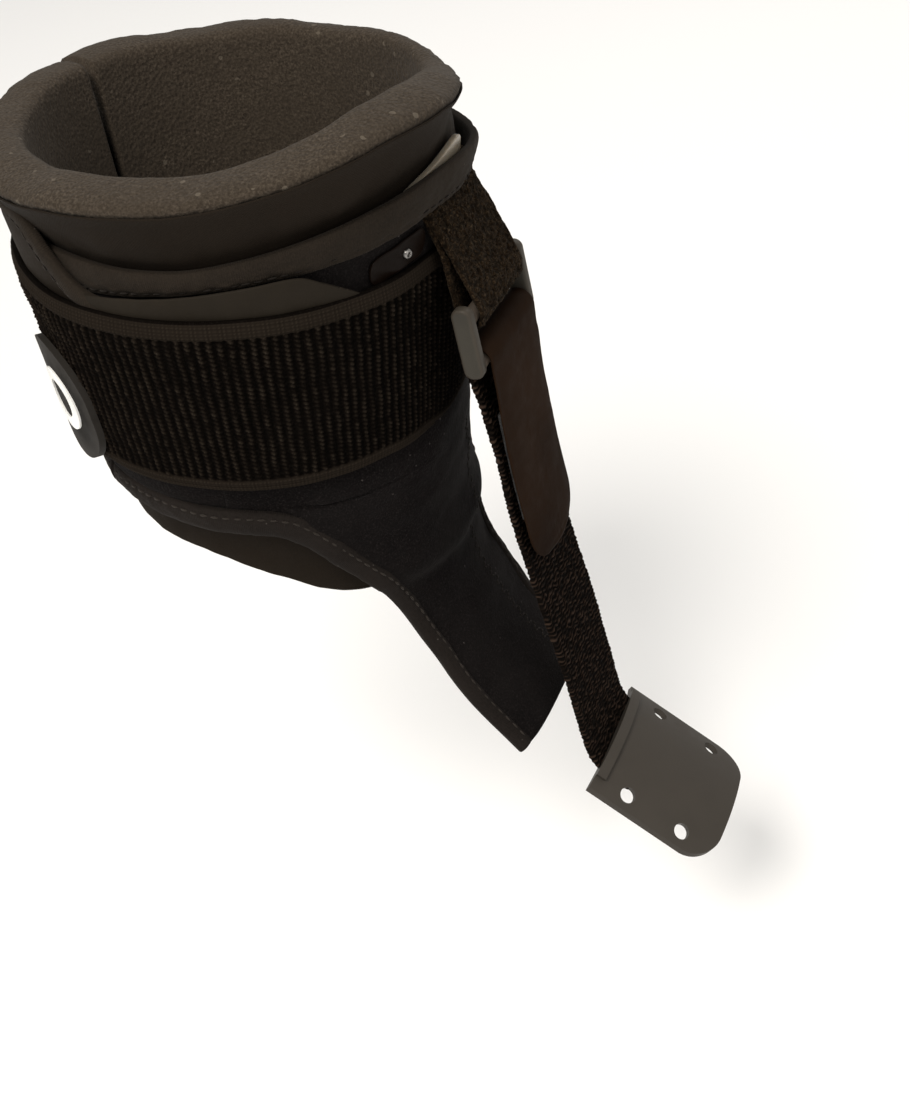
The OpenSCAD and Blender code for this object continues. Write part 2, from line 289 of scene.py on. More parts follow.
def loop_of(points, per):
    """Resample a closed outline (offset, z) evenly to per points, starting at its first."""
    p = np.asarray(list(points) + [points[0]], float)
    s = np.concatenate([[0], np.cumsum(np.linalg.norm(np.diff(p, axis=0), axis=1))])
    u = np.linspace(0, s[-1], per, endpoint=False)
    return np.stack([np.interp(u, s, p[:, k]) for k in range(2)], -1)


def smooth_loop(points, per, it=2, keep=None):
    """A closed outline rounded by corner cutting, then resampled."""
    p = np.asarray(points, float)
    for _ in range(it):
        q = np.roll(p, -1, 0)
        p = np.stack([0.75 * p + 0.25 * q, 0.25 * p + 0.75 * q], 1).reshape(-1, 2)
    return loop_of(p, per)


# ---------------------------------------------------------------- materials
class Mat:
    def __init__(self, name, rough=0.6, spec=0.35, sheen=0.0, sheen_rough=0.5,
                 sheen_tint=(1, 1, 1), coat=0.0, coat_rough=0.3):
        self.m = bpy.data.materials.new(name)
        self.m.use_nodes = True
        self.t = self.m.node_tree
        self.b = self.t.nodes["Principled BSDF"]
        self.b.inputs["Roughness"].default_value = rough
        self.b.inputs["Specular IOR Level"].default_value = spec
        self.b.inputs["Sheen Weight"].default_value = sheen
        self.b.inputs["Sheen Roughness"].default_value = sheen_rough
        self.b.inputs["Sheen Tint"].default_value = (*sheen_tint, 1)
        self.b.inputs["Coat Weight"].default_value = coat
        self.b.inputs["Coat Roughness"].default_value = coat_rough
        self.height = None
        self.normal = None

    def n(self, kind, **kw):
        node = self.t.nodes.new(kind)
        for k, v in kw.items():
            setattr(node, k, v)
        return node

    def link(self, a, b):
        self.t.links.new(a, b)

    def val(self, node, name, v):
        if isinstance(v, (int, float, tuple, list)):
            node.inputs[name].default_value = v
        else:
            self.link(v, node.inputs[name])

    def math(self, op, a, b=0.0, c=None, clamp=False):
        node = self.n("ShaderNodeMath", operation=op, use_clamp=clamp)
        self.val(node, 0, a)
        self.val(node, 1, b)
        if c is not None:
            self.val(node, 2, c)
        return node.outputs[0]

    def obj(self):
        return self.n("ShaderNodeTexCoord").outputs["Object"]

    def puv(self):
        return self.n("ShaderNodeAttribute", attribute_name="puv",
                      attribute_type="GEOMETRY").outputs["Vector"]

    def xyz(self, v):
        s = self.n("ShaderNodeSeparateXYZ")
        self.link(v, s.inputs[0])
        return s.outputs

    def noise(self, v, scale, detail=3, rough=0.55, dist=0.0):
        node = self.n("ShaderNodeTexNoise")
        self.link(v, node.inputs["Vector"])
        node.inputs["Scale"].default_value = scale
        node.inputs["Detail"].default_value = detail
        node.inputs["Roughness"].default_value = rough
        node.inputs["Distortion"].default_value = dist
        return node.outputs["Fac"]

    def voro(self, v, scale, feature="F1", rand=1.0):
        node = self.n("ShaderNodeTexVoronoi", feature=feature)
        self.link(v, node.inputs["Vector"])
        node.inputs["Scale"].default_value = scale
        node.inputs["Randomness"].default_value = rand
        return node.outputs["Distance"]

    def ramp(self, fac, stops):
        node = self.n("ShaderNodeValToRGB")
        self.link(fac, node.inputs[0])
        e = node.color_ramp.elements
        while len(e) < len(stops):
            e.new(0.5)
        for el, (pos, col) in zip(e, stops):
            el.position = pos
            el.color = (*col, 1) if len(col) == 3 else col
        return node.outputs["Color"]

    def maprange(self, v, a, b, c, d):
        node = self.n("ShaderNodeMapRange")
        self.link(v, node.inputs["Value"])
        for k, x in zip(("From Min", "From Max", "To Min", "To Max"), (a, b, c, d)):
            node.inputs[k].default_value = x
        return node.outputs["Result"]

    def mix(self, fac, a, b, blend="MIX"):
        node = self.n("ShaderNodeMix", data_type="RGBA", blend_type=blend)
        self.val(node, 0, fac)
        for k, x in ((6, a), (7, b)):
            if isinstance(x, tuple):
                node.inputs[k].default_value = (*x, 1) if len(x) == 3 else x
            else:
                self.link(x, node.inputs[k])
        return node.outputs[2]

    def color(self, c):
        self.link(c, self.b.inputs["Base Color"])

    def rough(self, r):
        self.link(r, self.b.inputs["Roughness"])

    def bump(self, h, dist, strength=1.0):
        node = self.n("ShaderNodeBump")
        node.inputs["Strength"].default_value = strength
        node.inputs["Distance"].default_value = dist
        self.link(h, node.inputs["Height"])
        if self.normal is not None:
            self.link(self.normal, node.inputs["Normal"])
        self.normal = node.outputs["Normal"]
        self.link(self.normal, self.b.inputs["Normal"])


def tone(c, k):
    return tuple(min(1.0, x * k) for x in c)


def cloth_mat(name, col, rough=0.85, sheen=0.03, fine=1400, fine_depth=0.00012,
              patch=35, lint=0.0, spec=0.04, contrast=0.25):
    """A matt fabric with fine fibre bump, tone patches and a little lint."""
    m = Mat(name, rough=rough, spec=spec, sheen=sheen, sheen_rough=0.45,
            sheen_tint=(0.9, 0.85, 0.8))
    o = m.obj()
    big = m.noise(o, patch, 3)
    c = m.ramp(big, [(0.3, tone(col, 1 - contrast)), (0.7, tone(col, 1 + contrast))])
    f = m.noise(o, fine, 3, 0.65)
    c = m.mix(m.maprange(f, 0.35, 0.7, 0.0, 0.45), c, tone(col, 1.9))
    if lint:
        v = m.voro(o, 420)
        spot = m.math("LESS_THAN", v, 0.10)
        pick = m.math("GREATER_THAN", m.noise(o, 300, 1), 0.62)
        c = m.mix(m.math("MULTIPLY", m.math("MULTIPLY", spot, pick), lint), c,
                  (0.16, 0.145, 0.13))
    m.color(c)
    m.rough(m.maprange(f, 0.3, 0.7, rough - 0.08, min(1, rough + 0.08)))
    m.bump(f, fine_depth)
    return m


BLACK = (0.0105, 0.0088, 0.0078)

# foam: open-cell foam with specks; its pores are painted darker, as shade in the pits of the cell bump
m = Mat("foam", rough=0.92, spec=0.06, sheen=0.03, sheen_rough=0.6)
o = m.obj()
cells = m.voro(o, 900)
cells2 = m.voro(o, 380)
n1 = m.noise(o, 60, 3)
n2 = m.noise(o, 1500, 2, 0.7)
c = m.ramp(n2, [(0.30, (0.017, 0.0125, 0.0088)), (0.50, (0.038, 0.0295, 0.0215)),
                (0.74, (0.082, 0.066, 0.050))])
c = m.mix(m.maprange(n1, 0.35, 0.65, 0.25, 0.6), c, (0.033, 0.0255, 0.0185))
# painted shade: darker in the pores, where the cells bump dips
c = m.mix(m.maprange(cells, 0.0, 0.22, 0.75, 0.0), c, (0.010, 0.008, 0.006))
fl = m.voro(o, 210)
fleck = m.math("MULTIPLY", m.math("LESS_THAN", fl, 0.16), m.math("GREATER_THAN", m.noise(o, 150, 2), 0.58))
c = m.mix(m.math("MULTIPLY", fleck, 0.45), c, (0.13, 0.11, 0.085))
m.color(c)
m.bump(cells, 0.0004, 0.7)
m.bump(cells2, 0.00015, 0.3)
m.bump(m.noise(o, 130, 3), 0.0006, 0.25)
FOAM = m.m

# smooth knit facing
m = cloth_mat("liner_fabric", (0.0108, 0.0080, 0.0057), rough=0.78, sheen=0.01,
              fine=2600, fine_depth=0.00005, patch=18, contrast=0.22)
p = m.puv()
x = m.xyz(p)
w1 = m.math("SINE", m.math("MULTIPLY", x[0], 9.0))
w2 = m.math("SINE", m.math("MULTIPLY", x[1], 9.0))
m.bump(m.math("MULTIPLY", w1, w2), 0.00006, 0.5)
LINER = m.m

# velour: short soft pile
m = Mat("velour", rough=0.95, spec=0.05, sheen=0.03, sheen_rough=0.35,
        sheen_tint=(0.85, 0.8, 0.78))
o = m.obj()
f = m.noise(o, 1900, 3, 0.7)
g = m.noise(o, 330, 4, 0.6, 0.6)
big = m.noise(o, 40, 3)
c = m.ramp(f, [(0.35, (0.0022, 0.0018, 0.0018)), (0.55, (0.0055, 0.0044, 0.0043)),
               (0.75, (0.020, 0.0175, 0.017))])
c = m.mix(m.maprange(g, 0.45, 0.75, 0.0, 0.55), c, (0.0035, 0.003, 0.003))
c = m.mix(m.maprange(big, 0.4, 0.75, 0.0, 0.3), c, (0.014, 0.012, 0.0115))
v = m.voro(o, 300)
spot = m.math("MULTIPLY", m.math("LESS_THAN", v, 0.09),
              m.math("GREATER_THAN", m.noise(o, 210, 1), 0.60))
c = m.mix(m.math("MULTIPLY", spot, 0.5), c, (0.09, 0.08, 0.075))
m.color(c)
m.bump(g, 0.0006, 0.6)
m.bump(f, 0.00035, 0.8)
VELOUR = m.m

# smooth binding tape
m = cloth_mat("binding_tape", (0.0145, 0.0112, 0.0084), rough=0.82, sheen=0.02,
              fine=1700, fine_depth=0.00008, patch=45, lint=0.25, contrast=0.2)
p = m.puv()
x = m.xyz(p)
w1 = m.math("SINE", m.math("MULTIPLY", x[0], 12.0))
m.bump(w1, 0.00006, 0.6)
BINDING = m.m

# darker tape round the lower edge
m = cloth_mat("binding_tape_dark", (0.0105, 0.0085, 0.0074), rough=0.85, sheen=0.02,
              fine=1700, fine_depth=0.00008, patch=45, lint=0.25, contrast=0.2)
p = m.puv()
x = m.xyz(p)
w1 = m.math("SINE", m.math("MULTIPLY", x[0], 12.0))
m.bump(w1, 0.00006, 0.6)
BINDING_DARK = m.m

# curly pile webbing; darker where the cell bump is low, painted shade between the loops
m = Mat("pile_webbing", rough=0.9, spec=0.03, sheen=0.03, sheen_rough=0.4,
        sheen_tint=(1, 0.85, 0.65))
o = m.obj()
f = m.noise(o, 1100, 3, 0.6, 1.5)
v = m.voro(o, 820)
c = m.ramp(f, [(0.30, (0.0030, 0.0022, 0.0014)), (0.52, (0.0140, 0.0080, 0.0040)),
               (0.74, (0.066, 0.045, 0.026))])
# painted shade: dark where v is high, which the negative bump makes the low gaps between loops
c = m.mix(m.maprange(v, 0.35, 0.75, 0.0, 0.8), c, (0.003, 0.002, 0.0012))
m.color(c)
m.bump(v, -0.0007, 0.9)
m.bump(f, 0.0007, 0.9)
PILE = m.m

# smooth leatherette patch
def smooth_mat(name, col, rough=0.5, spec=0.4, grain=900, depth=0.00007, contrast=0.2,
               coat=0.0):
    m = Mat(name, rough=rough, spec=spec, coat=coat, coat_rough=0.35)
    o = m.obj()
    v = m.voro(o, grain, "DISTANCE_TO_EDGE")
    big = m.noise(o, 28, 3)
    c = m.ramp(big, [(0.3, tone(col, 1 - contrast)), (0.7, tone(col, 1 + contrast))])
    sc = m.noise(o, 160, 4, 0.7)
    c = m.mix(m.maprange(sc, 0.55, 0.8, 0.0, 0.35), c, tone(col, 1.7))
    m.color(c)
    m.rough(m.maprange(sc, 0.3, 0.75, rough - 0.07, rough + 0.12))
    m.bump(v, depth, 0.7)
    m.bump(m.noise(o, 55, 3), 0.0006, 0.25)
    return m


SMOOTH = smooth_mat("smooth_patch", (0.0145, 0.0115, 0.0082), rough=0.68, spec=0.06).m
TAB = smooth_mat("tab_leatherette", (0.0135, 0.0070, 0.0038), rough=0.72, spec=0.025,
                 grain=1100, depth=0.00006, contrast=0.3).m
GLOSSY = smooth_mat("glossy_patch", (0.0050, 0.0028, 0.0018), rough=0.34, spec=0.05).m

# ribbed elastic: ribs are in the mesh, yarns in the bump; the colour darkens with the rib height from the mesh,
# painted shade in the gaps between ribs
m = Mat("ribbed_elastic", rough=0.9, spec=0.02, sheen=0.0, sheen_rough=0.4)
p = m.puv()
x = m.xyz(p)
o = m.obj()
f = m.noise(o, 1800, 3, 0.65)
h = x[2]
# painted shade: colour from rib height, near-black in the gaps and lighter on the crests
c = m.ramp(m.maprange(h, 0.0, 1.0, 0.0, 1.0),
           [(0.0, (0.0008, 0.0006, 0.0004)), (0.40, (0.0026, 0.0018, 0.0013)),
            (0.75, (0.0135, 0.0102, 0.0074)), (1.0, (0.0300, 0.0235, 0.0175))])
c = m.mix(m.maprange(f, 0.50, 0.80, 0.0, 0.25), c, (0.022, 0.018, 0.015))
big = m.noise(o, 30, 2)
c = m.mix(m.maprange(big, 0.4, 0.8, 0.0, 0.3), c, (0.006, 0.0045, 0.0035))
m.color(c)
m.bump(f, 0.00018, 0.8)
tw = m.math("SINE", m.math("MULTIPLY", m.math("ADD", x[0], m.math("MULTIPLY", x[1], 0.6)), 14.0))
m.bump(tw, 0.00006, 0.5)
RIBBED = m.m

# crepe elastic: colour darkens with the crimp height from the mesh, painted shade in the crimp valleys
m = Mat("crepe_elastic", rough=0.85, spec=0.03, sheen=0.0, sheen_rough=0.4)
p = m.puv()
x = m.xyz(p)
o = m.obj()
f = m.noise(o, 1500, 3, 0.65)
# painted shade: dark in the crimp valleys, lighter on the crests
c = m.ramp(x[2], [(0.0, (0.0008, 0.0006, 0.0004)), (0.5, (0.0035, 0.0023, 0.0016)),
                  (1.0, (0.0330, 0.0210, 0.0150))])
c = m.mix(m.maprange(f, 0.5, 0.8, 0.0, 0.25), c, (0.030, 0.022, 0.017))
m.color(c)
yarn = m.math("SINE", m.math("MULTIPLY", x[1], 11.0))
m.bump(yarn, 0.00008, 0.7)
m.bump(f, 0.00015, 0.7)
CREPE = m.m

# hook tape: tiny hooks; the colour follows the hook bump, painted shade darker in its pits
m = Mat("hook_tape", rough=0.6, spec=0.4)
p = m.puv()
x = m.xyz(p)
a = m.math("SINE", m.math("MULTIPLY", x[0], 7.0))
b = m.math("SINE", m.math("MULTIPLY", x[1], 7.0))
h = m.math("MULTIPLY", a, b)
# painted shade: darker where the bump pattern is low
m.color(m.ramp(m.maprange(h, -1, 1, 0, 1), [(0.2, (0.003, 0.003, 0.003)), (0.9, (0.022, 0.021, 0.020))]))
m.bump(h, 0.0005, 0.9)
HOOK = m.m

# moulded grey plastic ring; edge= is a lighter colour on convex edges, a painted edge highlight
def plastic_mat(name, col, rough=0.38, spec=0.5, edge=None, edge_highlight_mix=0.3):
    m = Mat(name, rough=rough, spec=spec)
    o = m.obj()
    sc = m.noise(o, 90, 4, 0.65)
    fine = m.noise(o, 2200, 2)
    c = m.ramp(sc, [(0.3, tone(col, 0.85)), (0.7, tone(col, 1.15))])
    if edge:
        # painted highlight: convex edges (Pointiness) mixed towards the lighter edge colour
        geo = m.n("ShaderNodeNewGeometry")
        c = m.mix(m.maprange(geo.outputs["Pointiness"], 0.52, 0.58, 0.0, edge_highlight_mix), c, edge)
    m.color(c)
    m.rough(m.maprange(sc, 0.35, 0.7, rough - 0.06, rough + 0.12))
    m.bump(fine, 0.00003, 0.5)
    m.bump(sc, 0.0002, 0.2)
    return m


# edge= colours are painted highlights on the convex edges
RING = plastic_mat("ring_plastic", (0.036, 0.0325, 0.0260), rough=0.50, spec=0.15, edge=(0.085, 0.055, 0.038)).m
INSERT = plastic_mat("insert_plastic", (0.017, 0.0138, 0.0108), rough=0.48, spec=0.15, edge=(0.09, 0.08, 0.068)).m
BADGE = plastic_mat("badge_rubber", (0.0070, 0.0058, 0.0046), rough=0.65, spec=0.08, edge=(0.05, 0.045, 0.04)).m
PRINT = plastic_mat("badge_print", (0.80, 0.80, 0.78), rough=0.5, edge_highlight_mix=0.0).m
THREAD = cloth_mat("thread", (0.0095, 0.0078, 0.0066), rough=0.85, sheen=0.1, fine=5000,
                   fine_depth=0.00003, patch=60).m

THREAD_PALE = cloth_mat("thread_pale", (0.021, 0.0175, 0.0148), rough=0.85, sheen=0.1, fine=5000,
                        fine_depth=0.00003, patch=60).m

# translucent plate
m = Mat("plate_plastic", rough=0.36, spec=0.35, coat=0.05, coat_rough=0.2)
o = m.obj()
sc = m.noise(o, 70, 4, 0.6)
m.color(m.ramp(sc, [(0.3, (0.155, 0.132, 0.100)), (0.7, (0.235, 0.205, 0.160))]))
m.rough(m.maprange(sc, 0.3, 0.7, 0.25, 0.45))
m.bump(m.noise(o, 400, 3), 0.0001, 0.4)
m.b.inputs["Subsurface Weight"].default_value = 0.25
m.b.inputs["Subsurface Radius"].default_value = (0.004, 0.003, 0.002)
m.b.inputs["Subsurface Scale"].default_value = 1.0
PLATE = m.m

# rivet metal
m = Mat("rivet_metal", rough=0.25, spec=0.5)
m.b.inputs["Metallic"].default_value = 1.0
o = m.obj()
sc = m.noise(o, 500, 3)
m.color(m.ramp(sc, [(0.3, (0.10, 0.095, 0.09)), (0.7, (0.28, 0.27, 0.26))]))
m.rough(m.maprange(sc, 0.3, 0.7, 0.15, 0.4))
m.bump(m.noise(o, 1500, 2), 0.00003, 0.5)
RIVET = m.m


def finish_piece(ob, mat, body=None, nodes=(), blend=None):
    ob.data.materials.clear()
    ob.data.materials.append(mat)
    if blend:
        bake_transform(ob)
    else:
        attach(ob, body)
    if nodes:
        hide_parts(*nodes)
    return ob


def stitches(name, P, N, pitch, length, radius, skip_ends=0.5, lift=0.02):
    """A row of thread stitches along points P (mm) with surface normals N, as one mesh."""
    d = np.concatenate([[0], np.cumsum(np.linalg.norm(np.diff(P, axis=0), axis=1))])
    n = int((d[-1] - 2 * skip_ends) / pitch)
    verts, faces, puv = [], [], []
    ns, nr = 6, 7
    for k in range(n):
        s0 = skip_ends + k * pitch + (pitch - length) / 2
        ss = s0 + length * np.linspace(0, 1, nr)
        c = np.stack([np.interp(ss, d, P[:, j]) for j in range(3)], -1)
        nn = np.stack([np.interp(ss, d, N[:, j]) for j in range(3)], -1)
        nn /= np.linalg.norm(nn, axis=1, keepdims=True)
        t = np.gradient(c, axis=0)
        t /= np.linalg.norm(t, axis=1, keepdims=True)
        b = np.cross(t, nn)
        prof = np.sin(np.linspace(0.12, np.pi - 0.12, nr)) ** 0.6
        lift_k = lift * np.sin(np.linspace(0, np.pi, nr)) - radius * 0.35
        base = len(verts)
        for i in range(nr):
            for j in range(ns):
                a = 2 * math.pi * j / ns
                q = (c[i] + nn[i] * (lift_k[i] + radius * prof[i] * math.sin(a))
                     + b[i] * radius * prof[i] * math.cos(a))
                verts.append(q)
                puv.append((ss[i], j, k))
        for i in range(nr - 1):
            for j in range(ns):
                faces.append([base + i * ns + j, base + i * ns + (j + 1) % ns,
                              base + (i + 1) * ns + (j + 1) % ns, base + (i + 1) * ns + j])
        faces.append([base + j for j in range(ns)][::-1])
        faces.append([base + (nr - 1) * ns + j for j in range(ns)])
    return make(name, np.array(verts), faces, np.array(puv))


# ================================================================ the cuff
def wrap(theta):
    """An angle from -180 to 180."""
    return (np.asarray(theta, float) + 180) % 360 - 180


RIM = spline([-180, -150, -119, -104, -84, -68, -56, -41, -27, -14, 0, 10, 20, 30, 40, 50, 60, 90, 130, 180],
             [166.0, 166.8, 168.0, 169.0, 170.4, 172.0, 173.9, 176.0, 178.4, 178.8, 176.9, 174.7, 172.3,
              170.1, 168.4, 167.1, 166.4, 165.6, 165.6, 166.0])
RIM_OUT = spline([-180, -40, -30, -20, -10, 0, 10, 20, 30, 40, 50, 60, 80, 110, 150, 180],
                 [0, 0, -0.7, -1.0, -2.3, -5.2, -8.0, -9.6, -10.4, -10.4, -9.2, -7.6, -4.4, -1.4, 0, 0])
RIM_IN = spline([-180, -40, -30, -20, -10, 0, 10, 20, 30, 40, 50, 70, 100, 180],
                [0, 0, -0.8, -1.6, -2.2, -3.2, -4.0, -4.3, -4.2, -3.6, -2.6, -1.0, 0, 0])


def rim_shift(theta, z):
    """The rim and everything near it rises towards the toes and the outer side."""
    return (RIM(wrap(theta)) - 169.6) * smooth(132, 152, z)


def rim_draw(theta, z, off):
    """The rim lies flatter against the shin than elsewhere."""
    k = smooth(2, 13, off)
    a = wrap(theta)
    return (RIM_IN(a) * (1 - k) + RIM_OUT(a) * k) * smooth(146, 166, z)


def bind_top(theta):
    return spline([-180, -130, -110, -91, -79, -62, -41, -29, -12, 0, 10, 20, 30, 40, 50, 70, 110, 180],
                  [151.5, 153.0, 153.4, 152.7, 153.0, 155.3, 158.9, 161.0, 162.6, 161.9, 160.0, 157.8,
                   155.9, 154.3, 153.2, 152.2, 151.8, 151.5])(wrap(theta))


def bind_low(theta):
    return spline([-180, -150, -105, -81, -63, -50, -30, -14, 0, 20, 40, 70, 110, 180],
                  [142.0, 142.5, 143.8, 146.4, 148.2, 149.2, 150.6, 151.6, 151.0, 148.6, 146.2, 144.4,
                   143.2, 142.0])(wrap(theta))


def bind_off(theta):
    """Middle offset of the cuff's bound top edge: it stands off at the front."""
    return spline([-180, -100, -70, -45, -25, 0, 15, 40, 70, 180],
                  [8.0, 8.0, 8.2, 8.6, 9.2, 9.3, 8.6, 7.6, 7.9, 8.0])(wrap(theta))


# --- foam liner with its flared, cut rim
prof = smooth_loop([(0.0, 71), (0.0, 100), (0.0, 130), (0.0, 150), (0.0, 160), (0.0, 168),
                    (0.0, 171.0), (0.2, 172.6), (1.5, 173.6), (4.5, 173.7), (8.0, 173.4),
                    (11.4, 172.7), (13.6, 171.8), (14.5, 170.5), (14.0, 169.2), (12.4, 168.0),
                    (10.4, 165.6), (8.4, 162.0), (6.6, 157.5), (5.0, 152.5), (4.1, 147),
                    (3.9, 140), (3.9, 120), (3.9, 100), (3.9, 71)], 150, it=2)
th = np.linspace(165 + 1.6, 165 + 360 - 1.6, 420)
Z = prof[None, :, 1] + 0 * th[:, None]
OFF = prof[None, :, 0] + 0 * th[:, None]
T = th[:, None] + 0 * Z
lump = fbm(leg_point(T, Z, OFF), 0.035, 3, 3)
Zs = Z + rim_shift(T, Z) + 0.9 * lump * smooth(150, 170, Z)
OFFs = OFF + (0.5 * lump + 0.35 * np.sin(np.radians(T * 3 + 40))) * smooth(155, 170, Z) * smooth(1, 8, OFF)
OFFs = OFFs + rim_draw(T, Z, OFF)


def foam_disp(P, T, Z, OFF):
    return 0.14 * fbm(P, 0.35, 3, 21) * smooth(0.5, 3, OFF) + 0.03 * vnoise(P, 1.7, 31)


foam = on_cone("foam_liner_mesh", th, Zs, OFFs, disp=foam_disp)
finish_piece(foam, FOAM, "cuff", ["foam_liner"])

# --- facing of the liner
outer = spline([72, 100, 140, 147, 152.5, 157.5, 161.5, 165.0, 167.4, 168.8, 169.6],
               [4.55, 4.55, 4.55, 4.9, 5.9, 7.6, 9.4, 11.5, 13.2, 14.35, 14.75])
zz = np.concatenate([np.linspace(72, 140, 16), np.linspace(141, 169.6, 60)])
o_out = outer(zz)
th = np.linspace(165 + 2.0, 165 + 360 - 2.0, 420)
nz = len(zz)
Zg = np.concatenate([zz, zz[::-1]])
Og = np.concatenate([o_out, o_out[::-1] - 0.42])
Z = Zg[None] + 0 * th[:, None]
OFF = Og[None] + 0 * th[:, None]
T = th[:, None] + 0 * Z
lump = fbm(leg_point(T, Z, OFF), 0.035, 3, 3)
Zs = Z + rim_shift(T, Z) + 0.9 * lump * smooth(150, 170, Z)
bulge = 1.3 * np.exp(-((Z - 160) / 5.5) ** 2)
wr = (fbm(np.stack([T * 0.5, Z * 0.35, 0 * Z], -1), 0.18, 3, 41)
      + 0.5 * np.sin(np.radians(T * 9) + Z * 0.25)) * 0.55 * np.exp(-((Z - 157) / 7) ** 2)
OFFs = OFF + (0.5 * lump + 0.35 * np.sin(np.radians(T * 3 + 40))) * smooth(155, 170, Z) + bulge + wr
OFFs = OFFs + rim_draw(T, Z, OFF)
facing = on_cone("liner_facing_mesh", th, Zs, OFFs)
finish_piece(facing, LINER, "cuff", ["liner_facing"])

# --- lower, smooth part of the liner
low_edge = spline([0, 25, 39, 55, 66, 80, 95, 115, 150, 180],
                  [36.5, 36.5, 38, 43, 48.3, 54, 57.5, 59, 60, 60])
th = np.linspace(165 + 1.6, 165 + 360 - 1.6, 420)
lo = low_edge(np.abs((th + 180) % 360 - 180))
k = np.linspace(0, 1, 40)
sec_z, sec_o = [], []
ang = np.linspace(-np.pi, 0, 12)
Z = np.concatenate([72 - (72 - (lo[:, None] + 2.0)) * k[None],
                    lo[:, None] + 2.0 + 2.0 * np.sin(ang)[None],
                    (lo[:, None] + 2.0) + (72 - (lo[:, None] + 2.0)) * k[None]], 1)
OFF = np.concatenate([0.0 + 0 * Z[:, :40], 2.35 - 2.35 * -np.cos(ang)[None] + 0 * Z[:, 40:52],
                      4.7 + 0 * Z[:, 52:]], 1)
OFF[:, 40:52] = 2.35 + 2.35 * np.cos(ang)[None]
T = th[:, None] + 0 * Z
soft = fbm(leg_point(T, Z, 0 * Z + 40), 0.06, 3, 51)
OFF = OFF + (0.35 * soft + 0.5 * np.exp(-((Z - lo[:, None] - 3) / 4) ** 2)) * smooth(2, 4, OFF)
lower = on_cone("lower_liner_mesh", th, Z, OFF)
finish_piece(lower, LINER, "cuff", ["lower_liner"])

# --- stiff front plate: its upper corner shows inside the cuff's edge
th = np.linspace(-36, 50, 200)
ztop = spline([-36, -30, -20, -10, -3, 0, 1.6, 3.0, 4.5, 8, 20, 40, 46, 50],
              [146, 153.5, 160.5, 163.6, 165.8, 166.2, 165.6, 163.0, 158.5, 153.5, 150.5, 147, 145, 140])(th)
k = np.linspace(0, 1, 60)
Zo = 88 + (ztop - 88)[:, None] * k[None]
T = th[:, None] + 0 * Zo
base = spline([88, 130, 145, 152, 158, 163, 167], [4.75, 4.75, 5.1, 5.7, 6.5, 7.2, 7.8])(Zo)
Z = np.concatenate([Zo, Zo[:, ::-1]], 1)
OFF = np.concatenate([base + 1.7, base[:, ::-1]], 1)
plate = on_cone("anterior_plate_mesh", th, Z, OFF)
bev = plate.modifiers.new("bevel", "BEVEL")
bev.width, bev.segments, bev.limit_method, bev.angle_limit = 0.0004, 3, "ANGLE", math.radians(40)
finish_piece(plate, PLATE, "cuff", ["anterior_plate"])

# --- velour shell of the cuff, slit under the closure flap
th = np.linspace(-127, 231, 360)
T1 = th[:, None]
top = (bind_low(th) + 2.2)[:, None]
low = 79.2 + 0 * top
k = np.linspace(0, 1, 46)[None]
Zo = low + (top - low) * k
Z = np.concatenate([Zo, Zo[:, ::-1]], 1)
OFF = np.concatenate([8.25 + 0 * Zo, 6.15 + 0 * Zo], 1)
T = T1 + 0 * Z
OFF = OFF + 0.25 * fbm(leg_point(T, Z, 0 * Z + 8), 0.07, 3, 61) * (OFF > 7)
shell = on_cone("cuff_shell_mesh", th, Z, OFF)
finish_piece(shell, VELOUR, "cuff", ["cuff_shell"])

# --- rounded tape round the cuff's top edge
th = np.linspace(-126.8, 230.8, 720)
zt, zl = bind_top(th), bind_low(th)
sb, sn, _ = rounded_section(1.0, 1.0, 26, nr=7, r=0.30)
sb, sn = sb * 2, sn * 2                               # -1..1 both ways
bulge_sec = 1 + 0.16 * np.cos(sb * math.pi / 2)
Z = (zt + zl)[:, None] / 2 + (zt - zl)[:, None] / 2 * sb[None] * 1.03
T = th[:, None] + 0 * Z
lean = 0.7 * smooth(60, 15, np.abs(wrap(th)))[:, None] + 0.35
OFF = bind_off(th)[:, None] + 1.55 * (sn * bulge_sec)[None] + lean * sb[None]
puck = 0.16 * np.sin(np.radians(T) * 57 / 3.4 * 2 * np.pi / 2) * np.exp(-((sb[None] + 0.55) / 0.35) ** 2)
OFF = OFF + (puck + 0.35 * fbm(np.stack([np.radians(T) * 57, Z * 0.6, 0 * Z], -1), 0.09, 3, 71)
             + 0.10 * fbm(np.stack([np.radians(T) * 57, Z * 1.5, 0 * Z], -1), 0.5, 2, 75)) * (sn[None] > -0.2)
# a sewn groove above the lower edge
OFF = OFF - 0.30 * np.exp(-((sb[None] + 0.62) / 0.07) ** 2) * (sn[None] > 0)
top_tape = on_cone("top_binding_mesh", th, Z, OFF)
finish_piece(top_tape, BINDING, "cuff", ["top_binding"])
zz = (zt + zl) / 2 - 0.62 * (zt - zl) / 2
C, N, B = wrap_frame(th, zz, bind_off(th) + 1.55 * 1.1 - 0.62 * (lean[:, 0]) - 0.22)
st = stitches("top_binding_stitches", C, N, 3.1, 2.2, 0.26)
finish_piece(st, THREAD, "cuff")


